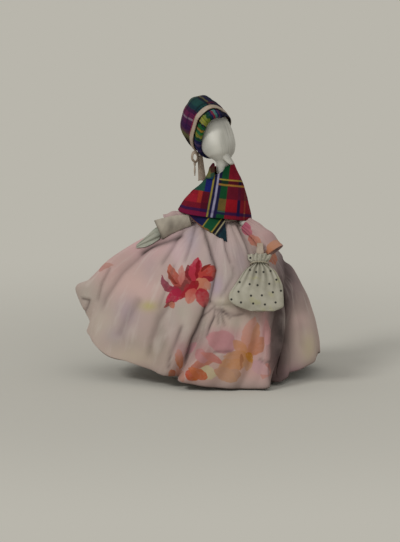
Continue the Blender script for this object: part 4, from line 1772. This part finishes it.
class OBJECT_OT_doll_kerchief(bpy.types.Operator):
    """Plaid kerchief folded round the shoulders, its hanging corner and neck edge"""

    bl_idname = "object.doll_kerchief"
    bl_label = "Kerchief"

    def execute(self, context):
        wool = wool_twill("plaid_wool_twill_fine")
        skirt = skirt_surface(context.scene.doll_skirt)[0]
        self.wrap(wool, skirt)
        self.corner(wool, skirt)
        self.collar(wool)
        return {"FINISHED"}

    def wrap(self, wool, skirt):
        points, degrees_round = kerchief_surface()
        wave = 0.22 * uneven(points, 16) + 0.1 * uneven(points, 6)
        points = points + outward(points) * wave[..., None]
        points = seated(points, skirt, SKIRT["wall"] / 2 + KERCHIEF["wall"] / 2 + LAID_GAP)
        x, y = front_view(points)
        # Round the back the check goes on by the length walked, the same front to back
        behind = np.abs(degrees_round)[None, :] > 110
        sides = np.interp(degrees_round, [-180, -90, 0, 90, 180], [140, 176, 214, 250, 286])[None, :]
        walked = 176 + np.mod(sides - 176 + 0 * x, KERCHIEF_SPREAD)
        drop = (y - y.min(axis=0)) / (y.max(axis=0) - y.min(axis=0))
        level = KERCHIEF_MIDDLE + 21 - 45 * (1 - drop)
        dye = check_dye(np.where(behind, walked, x), np.where(behind, level, y))
        shade = 0.35 * bump(degrees_round[None, :], -100, 14)
        shade = shade + 0.32 * smoothstep(0, 0.9, bump(drop, 1, 0.012))
        part = cloth_tube(points, KERCHIEF["wall"], even_chart(points, True), {"dye": dye, "shade": shade})
        shawl = make_piece("shawl", [part], wool, "dressed_pipe", "kerchief")

    def corner(self, wool, skirt):
        start = (0, 0, KERCHIEF["top"])
        j = rounded_edge(150, 0.006)
        i = rounded_edge(70, 0.01)[:, None, None]
        upper, long = (
            route(placed(shares, FLAP["width"], start), j)[None]
            for shares in (FLAP_UPPER_SHARES, FLAP_LONG_SHARES)
        )
        points = upper + (long - upper) * i
        wave = FLAP["wave"] * np.sin(math.pi * i) * np.cos(9 * j[None, :, None])
        points = points + np.array([0, -1, 0.2]) * wave
        points = seated(points, skirt, SKIRT["wall"] / 2 + FLAP["wall"] / 2 + LAID_GAP)
        x, y = front_view(points)
        along = (x - FLAP_START[0]) * FLAP_ALONG[0] + (y - FLAP_START[1]) * FLAP_ALONG[1]
        dye = striped(along + 0.06 * (x - 210), FLAP_STRIPES, 0.35)
        edge = bump(i[..., 0], 0.97, 0.05) * smoothstep(32, 24, along)
        dye = dyed_flecks(dye, 0.85 * np.clip(edge, 0, 1), "#8f5a30")
        shade = 0.5 * bump(i[..., 0], 0, 0.15) + 0 * x
        part = cloth_panel(points, FLAP["wall"], even_chart(points, False), {"dye": dye, "shade": shade})
        corner = make_piece("shawl_corner", [part], wool, "dressed_pipe", "kerchief_point")

    def collar(self, wool):
        j = rounded_edge(120, 0.006)[None, :]
        i = rounded_edge(50, 0.01)[:, None]
        angle = np.radians(COLLAR["start"] + (COLLAR["end"] - COLLAR["start"]) * j)
        rise = COLLAR["top_drop"] - COLLAR["bottom_drop"]
        top = COLLAR["bottom_drop"] + rise * table(COLLAR_EDGE_SHARES, j)
        drop = top + (COLLAR["bottom_drop"] - top) * i
        points = kerchief_reach(drop / KERCHIEF["drop"], angle)
        lift = KERCHIEF["wall"] / 2 + SEAT_GAP + COLLAR["wall"] / 2 + COLLAR["wave"] * np.sin(6 * j + 3 * i)
        points[..., 0] += lift * np.sin(angle)
        points[..., 1] -= lift * np.cos(angle)
        x, y = front_view(points)
        dye = patched(striped(y + 0.55 * (x - 208), COLLAR_STRIPES, 0.5), x, y, COLLAR_PATCHES, 0.6)
        part = cloth_panel(points, COLLAR["wall"], even_chart(points, False), {"dye": dye})
        collar = make_piece("shawl_neck_edge", [part], wool, "dressed_pipe", "kerchief_collar")


class OBJECT_OT_doll_sleeves(bpy.types.Operator):
    """Printed sleeves, the left cuff, and the handkerchief tucked into it"""

    bl_idname = "object.doll_sleeves"
    bl_label = "Sleeves And Handkerchief"

    def execute(self, context):
        skirt = skirt_surface(context.scene.doll_skirt)[0]
        rest = SKIRT["wall"] / 2 + CLOTH_WALL / 2 + LAID_GAP
        for name, sleeve in SLEEVES.items():
            points = seated(sleeve_surface(sleeve), skirt, rest)
            view = view_of(points)
            wash = washed(view[..., 0], view[..., 1], sleeve["tone"], SLEEVE_WASHES)
            values = {"wash": wash, "view": view, "shade": np.zeros(points.shape[:2])}
            part = cloth_tube(points, CLOTH_WALL, even_chart(points, True), values)
            cotton = bpy.data.materials["printed_cotton_faded"]
            piece = make_piece(name, [part], cotton, "dressed_pipe", sleeve["node"])
        self.cuff(skirt, rest)
        self.handkerchief(skirt, rest)
        return {"FINISHED"}

    def cuff(self, skirt, rest):
        s = rounded_edge(60, 0.01)[:, None]
        j = rounded_edge(110, 0.008)[None, :]
        top = CUFF["inner_top"] + (CUFF["outer_top"] - CUFF["inner_top"]) * s
        angle = math.pi - np.radians(top + (CUFF["bottom"] - top) * j)
        points = oval_tube(CUFF, s[:, 0], angle)
        points = points + normals(points, False) * (0.3 * uneven(points, 9))[..., None]
        points = seated(points, skirt, rest)
        x, y = front_view(points)
        shade = 0.55 * bump(s, 1, 0.05) + 0.4 * bump(x, 171, 3.5) * bump(y, 226, 7)
        part = cloth_panel(points, CLOTH_WALL, even_chart(points, False), {"shade": shade})
        grey = plain_cotton("grey_cotton_washed", "#aba292", "#958d80", 0.7)
        cuff = make_piece("left_cuff", [part], grey, "dressed_pipe", "cuff_left")

    def handkerchief(self, skirt, rest):
        rows = numbered(HANDKERCHIEF_SHARES)
        i = rounded_edge(80, 0.008)[:, None]
        j = rounded_edge(90, 0.008)[None, :]
        across, back, up, half = (table(rows, i, k) * HANDKERCHIEF["length"] for k in (1, 2, 3, 4))
        wave = HANDKERCHIEF["fold"] * np.sin(math.pi * HANDKERCHIEF["folds"] * j + 1) * (1 - i / 2)
        wave = wave + 0.25 * np.sin(19 * j + 4 * i)
        points = np.stack(np.broadcast_arrays(across, back + wave, up + half * (1 - 2 * j)), axis=-1)
        points = seated(points + np.array(HANDKERCHIEF["start"]), skirt, rest)
        shade = 0.3 * np.clip(-wave / 2, 0, 1) + 0.3 * bump(i, 0, 0.15)
        part = cloth_panel(points, HANDKERCHIEF["wall"], even_chart(points, False), {"shade": shade})
        lawn = plain_cotton("cotton_lawn_tinted", "#a3a193", "#989d8e", 0.5)
        cloth = make_piece(
            "tucked_handkerchief", [part], lawn, "dressed_pipe", "handkerchief",
        )


# The reticule, in its own plane: right, down the bag, and out of its face
BAG = {
    "length": 48.0, "right": 25.7, "forward": 32.2, "height": 88.8, "lean": 43.0, "gather": 0.35,
    "gathers": 9, "neck": 0.165, "slack": 0.955, "fan": 1.15, "frill": 0.75, "swell": 0.35, "laid": 0.15,
}
BAG_SHARES = (
    (0, 0.18, 0.17, 0.028), (0.09, 0.165, 0.14, 0.05), (0.165, 0.105, 0.085, 0.046),
    (0.27, 0.215, 0.2, 0.07), (0.4, 0.29, 0.27, 0.088), (0.55, 0.37, 0.32, 0.1),
    (0.72, 0.45, 0.33, 0.1), (0.84, 0.42, 0.335, 0.085), (0.93, 0.3, 0.32, 0.055),
    (1, 0.14, 0.2, 0.014),
)
DRAWSTRING = {"radius": 0.5, "slack": 0.55}
BAG_LOOP = {"width": 4.6, "wall": 0.7, "across": 8.6, "rise": 0.8, "length": 18.0}
# Folds that fan down from the bag's neck: angle across its face in degrees
BAG_FOLDS = (28, 50, 72, 88, 104, 126, 150)


def on_bag(right, down, out):
    """Places in the bag's own plane, carried to the doll."""
    lean = math.radians(BAG["lean"])
    downward = np.array([0, -math.sin(lean), -math.cos(lean)])
    outward_face = np.array([0, -math.cos(lean), math.sin(lean)])
    right, down, out = (v[..., None] for v in np.broadcast_arrays(right, down, out))
    top = np.array([BAG["right"], -BAG["forward"], BAG["height"]])
    return top + right * np.array([1.0, 0, 0]) + down * downward + out * outward_face


def bag_halves(place):
    """Reach to the left and right and half thickness of the bag at shares of its length."""
    return (BAG["length"] * table(BAG_SHARES, place, k) for k in (1, 2, 3))


class OBJECT_OT_doll_reticule(bpy.types.Operator):
    """Spotted drawstring bag with its frill, cord and ribbon loop"""

    bl_idname = "object.doll_reticule"
    bl_label = "Reticule"

    def execute(self, context):
        self.bag(skirt_surface(context.scene.doll_skirt)[0])
        self.cord()
        self.loop()
        return {"FINISHED"}

    def bag(self, skirt):
        place = np.unique(np.concatenate([np.linspace(0, 0.2, 40), np.linspace(0.2, 1, 110)]))[:, None]
        angle = once_round(260)[None, :]
        cosine = np.cos(angle)
        left, right, thick = bag_halves(place)
        thick = np.maximum(thick, BAG["length"] * BAG_SHARES[-1][3])
        folds = np.zeros(angle.shape)
        for at in BAG_FOLDS:
            folds = folds + bump(np.degrees(angle), at, 5) + bump(np.degrees(angle), 360 - at, 5)
        fan = -BAG["fan"] * folds * smoothstep(0.1, 0.2, place) * (1 - smoothstep(0.25, 0.85, place))
        flare = 1 - smoothstep(0.05, 0.15, place)
        frill = flare * BAG["frill"] * np.sin(15 * cosine + 1.5 * np.sin(2 * angle))
        gather = BAG["gather"] * bump(place, BAG["neck"], 0.17) * np.cos(BAG["gathers"] * angle)
        swell = BAG["swell"] * np.sin(5 * cosine + 3 * place) * smoothstep(0.3, 0.6, place)
        points = on_bag(
            (right - left) / 2 + (left + right) / 2 * squared_off(cosine, 0.92),
            BAG["length"] * BAG["slack"] * place + 0.5 * (1 - smoothstep(0, 0.1, place)) * np.sin(9 * cosine),
            (thick + gather + fan + swell) * np.sin(angle) + frill,
        )
        points = seated(points, skirt, SKIRT["wall"] / 2 + BAG["laid"])
        shade = smoothstep(0.08, 0.18, place) * (1 - smoothstep(0.3, 0.95, place))
        shade = 0.5 * np.clip(folds, 0, 1) * shade
        shade = np.clip(shade + 0.5 * bump(place, BAG["neck"], 0.03), 0, 1)
        chart = round_chart(90, angle.size, BAG["length"] * place)
        part = capped_tube(points, chart, {"view": view_of(points), "shade": shade})
        muslin = spotted_muslin()
        bag = make_piece("spotted_bag", [part], muslin, "reticule", "reticule_bag", True)

    def cord(self):
        left, right, thick = bag_halves(BAG["neck"])
        gap = BAG["gather"] + SEAT_GAP + DRAWSTRING["radius"] + DRAWSTRING["slack"]
        ring = once_round(24)
        line = on_bag(
            (right - left) / 2 + ((left + right) / 2 + gap) * np.cos(ring),
            BAG["length"] * BAG["neck"],
            (thick + gap) * np.sin(ring),
        )
        cord = thread_ring(line, DRAWSTRING["radius"], 240, 26)
        make_piece("bag_cord", [cord], linen_thread(), "reticule", "reticule_drawstring")

    def loop(self):
        half = BAG_LOOP["across"] / 2
        angle = once_round(120)[:, None]
        section = once_round(24)[None, :]
        wide = BAG_LOOP["width"] / 2 * squared_off(np.cos(section), 0.3)
        thick = BAG_LOOP["wall"] / 2 * squared_off(np.sin(section), 0.6)
        points = on_bag(
            wide * (1 - 0.15 * np.cos(angle)),
            -SEAT_GAP - BAG_LOOP["wall"] - half - (half + thick) * np.cos(angle),
            (BAG_LOOP["rise"] + thick) * np.sin(angle) + 0.15 * np.sin(3 * section),
        )
        chart = round_chart(10, section.size, np.linspace(0, BAG_LOOP["length"], angle.size + 1))
        part = grid_part(points, chart, True, True)
        silk = bpy.data.materials["cream_silk_ribbon_aged"]
        make_piece("bag_loop", [part], silk, "reticule", "reticule_loop")


# The stage
def in_sight(tree):
    """Socket that is 1 for what the lens sees straight, mirrored or through glass."""
    path = add(tree, "ShaderNodeLightPath").outputs
    rays = {name: path[f"Is {name} Ray"] for name in ("Camera", "Glossy", "Transmission")}
    steps = (("either", "MAXIMUM", "Camera", "Glossy"), ("seen", "MAXIMUM", "either", "Transmission"))
    return worked_out(tree, rays, *steps)["seen"]


def floor_material(tone):
    """Plain pale floor that keeps the soft shadow near the doll and turns evenly into
    the background further off."""
    material, tree, shader = new_material("plain_pale_floor")
    shader.inputs["Base Color"].default_value = linear(tone)
    shader.inputs["Roughness"].default_value = 1.0
    shader.inputs["Specular IOR Level"].default_value = 0.0
    place = add(tree, "ShaderNodeTexCoord").outputs["Object"]
    distance = add(tree, "ShaderNodeVectorMath", {0: place}, operation="LENGTH").outputs["Value"]
    known = worked_out(
        tree, {"distance": distance, "seen": in_sight(tree)},
        ("far", "SOFT_RANGE", "distance", 0.16, 0.5),
        ("share", "MULTIPLY", "far", "seen"),
    )
    glow = add(tree, "ShaderNodeEmission", {"Color": linear(tone), "Strength": 1.0}).outputs[0]
    both = add(tree, "ShaderNodeMixShader", {0: known["share"], 1: shader.outputs["BSDF"], 2: glow})
    output = next(node for node in tree.nodes if node.type == "OUTPUT_MATERIAL")
    tree.links.new(both.outputs[0], output.inputs["Surface"])
    return material


# Each lamp's setting for its strength, and its lean, turn and spread in degrees
LAMPS = {"key": ("key", 48.0, -52.0, 16.0), "soft_front": ("front", 70.0, 12.0, 60.0)}


class OBJECT_OT_doll_stage(bpy.types.Operator):
    """Pale floor, soft light and the camera"""

    bl_idname = "object.doll_stage"
    bl_label = "Stage"

    def execute(self, context):
        settings = context.scene.doll_stage
        context.scene.view_settings.view_transform = "Standard"
        mesh = bpy.data.meshes.new("floor")
        size = settings.floor_radius
        corners = [(x * size, y * size, 0) for x, y in ((-1, -1), (1, -1), (1, 1), (-1, 1))]
        mesh.from_pydata(corners, [], [(0, 1, 2, 3)])
        mesh.materials.append(floor_material(settings.paper_tone))
        linked_object("floor", mesh)
        self.light(context.scene, settings)
        self.camera(context.scene, settings)
        return {"FINISHED"}

    def light(self, scene, settings):
        world = bpy.data.worlds.new("studio")
        scene.world = world
        world.use_nodes = True
        tree = world.node_tree
        tree.nodes.clear()
        fill, paper = (
            add(tree, "ShaderNodeBackground", {"Color": linear(tone), "Strength": strength}).outputs[0]
            for tone, strength in (("#ffffff", settings.fill), (settings.paper_tone, 1.0))
        )
        both = add(tree, "ShaderNodeMixShader", {0: in_sight(tree), 1: fill, 2: paper})
        add(tree, "ShaderNodeOutputWorld", {"Surface": both.outputs[0]})
        for name, (strength, lean, turn, spread) in LAMPS.items():
            lamp = bpy.data.lights.new(name, "SUN")
            lamp.energy = getattr(settings, strength)
            lamp.angle = math.radians(spread)
            light = linked_object(name, lamp)
            light.rotation_euler = (math.radians(lean), 0, math.radians(turn))

    def camera(self, scene, settings):
        lens = bpy.data.cameras.new("camera")
        lens.sensor_fit = "VERTICAL"
        lens.sensor_height = 36.0
        lens.lens = settings.lens
        lens.clip_end = 100.0
        step = VIEW_STEP * MM
        distance = step * VIEW_SIZE[1] * lens.lens / lens.sensor_height
        # The view's middle lies half the frame from the stem's foot
        right = (VIEW_SIZE[0] / 2 - VIEW_FOOT[0]) * step + STEM_X
        rise = (VIEW_FOOT[1] - VIEW_SIZE[1] / 2) * step / math.cos(VIEW_TILT)
        back = distance * np.array([0, -math.cos(VIEW_TILT), math.sin(VIEW_TILT)])
        camera = linked_object("camera", lens)
        camera.location = (np.array([right, STEM_Y, rise]) + back).tolist()
        camera.rotation_euler = (math.pi / 2 - VIEW_TILT, 0, 0)
        scene.camera = camera


# Settings
class DollPipeSettings(bpy.types.PropertyGroup):
    bowl_wall: FloatProperty(name="Bowl Wall", description="Bowl's wall in millimetres", default=2.5)
    bore_radius: FloatProperty(name="Bore Radius", description="Smoke bore in millimetres", default=1.2)
    clay_tone: StringProperty(name="Clay", description="sRGB hex of the clean clay", default="#c2bfb4")
    clay_cloud: StringProperty(name="Kiln Cloud", description="sRGB hex of its clouds", default="#a9a9a1")


class DollBonnetSettings(bpy.types.PropertyGroup):
    gathers: IntProperty(name="Gathers", description="Pleats round the brim", default=52)
    ribbon_tone: StringProperty(name="Ribbon", description="sRGB hex of the ribbon", default="#ab9c8b")
    ribbon_aged: StringProperty(name="Aged", description="sRGB hex of its tanned parts", default="#94826f")


class DollSkirtSettings(bpy.types.PropertyGroup):
    gathers: IntProperty(name="Gathers", description="Fine pleats round the waist", default=96)
    cotton_ground: StringProperty(name="Ground", description="sRGB hex of the cotton", default="#a8958c")
    cotton_grey: StringProperty(name="Grey Wash", description="sRGB hex of grey blotches", default="#9d9289")
    cotton_pink: StringProperty(name="Pink Wash", description="sRGB hex of pink blotches", default="#b39692")
    cotton_pale: StringProperty(name="Pale Marks", description="sRGB hex of pale streaks", default="#bfb3a9")
    fold_tone: StringProperty(name="Fold Shade", description="sRGB hex deep in the folds", default="#4c3f3c")


class DollArmSettings(bpy.types.PropertyGroup):
    lap_width: FloatProperty(name="Lap Width", description="Rag strip in millimetres", default=7.0)


class DollStageSettings(bpy.types.PropertyGroup):
    paper_tone: StringProperty(name="Background", description="sRGB hex all round", default="#b9b6ac")
    floor_radius: FloatProperty(name="Floor", description="Its half width", default=3.0, unit="LENGTH")
    fill: FloatProperty(name="Fill", description="Strength of the even light", default=0.6)
    key: FloatProperty(name="Key", description="Strength from the upper left", default=1.15)
    front: FloatProperty(name="Front", description="Strength from the front", default=0.35)
    lens: FloatProperty(name="Lens", description="Focal length in millimetres", default=400.0)


class VIEW3D_PT_doll(bpy.types.Panel):
    bl_label = "Clay Pipe Doll"
    bl_idname = "VIEW3D_PT_doll"
    bl_space_type = "VIEW_3D"
    bl_region_type = "UI"
    bl_category = "Doll"

    def draw(self, context):
        for operator in OPERATORS:
            self.layout.operator(operator.bl_idname)


GROUPS = {
    "doll_pipe": DollPipeSettings,
    "doll_bonnet": DollBonnetSettings,
    "doll_skirt": DollSkirtSettings,
    "doll_arms": DollArmSettings,
    "doll_stage": DollStageSettings,
}
OPERATORS = (
    OBJECT_OT_doll_stage,
    OBJECT_OT_doll_pipe,
    OBJECT_OT_doll_trunk,
    OBJECT_OT_doll_bonnet,
    OBJECT_OT_doll_skirts,
    OBJECT_OT_doll_kerchief,
    OBJECT_OT_doll_sleeves,
    OBJECT_OT_doll_reticule,
)
CLASSES = (*GROUPS.values(), *OPERATORS, VIEW3D_PT_doll)


def register():
    for cls in CLASSES:
        bpy.utils.register_class(cls)
    for name, group in GROUPS.items():
        setattr(bpy.types.Scene, name, PointerProperty(type=group))


def unregister():
    for name in GROUPS:
        delattr(bpy.types.Scene, name)
    for cls in reversed(CLASSES):
        bpy.utils.unregister_class(cls)


def main():
    """Registers the classes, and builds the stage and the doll."""
    register()
    bpy.ops.object.doll_stage()
    bpy.ops.object.doll_pipe()
    bpy.ops.object.doll_trunk()
    bpy.ops.object.doll_bonnet()
    bpy.ops.object.doll_skirts()
    bpy.ops.object.doll_kerchief()
    bpy.ops.object.doll_sleeves()
    bpy.ops.object.doll_reticule()


if __name__ == "__main__":
    main()
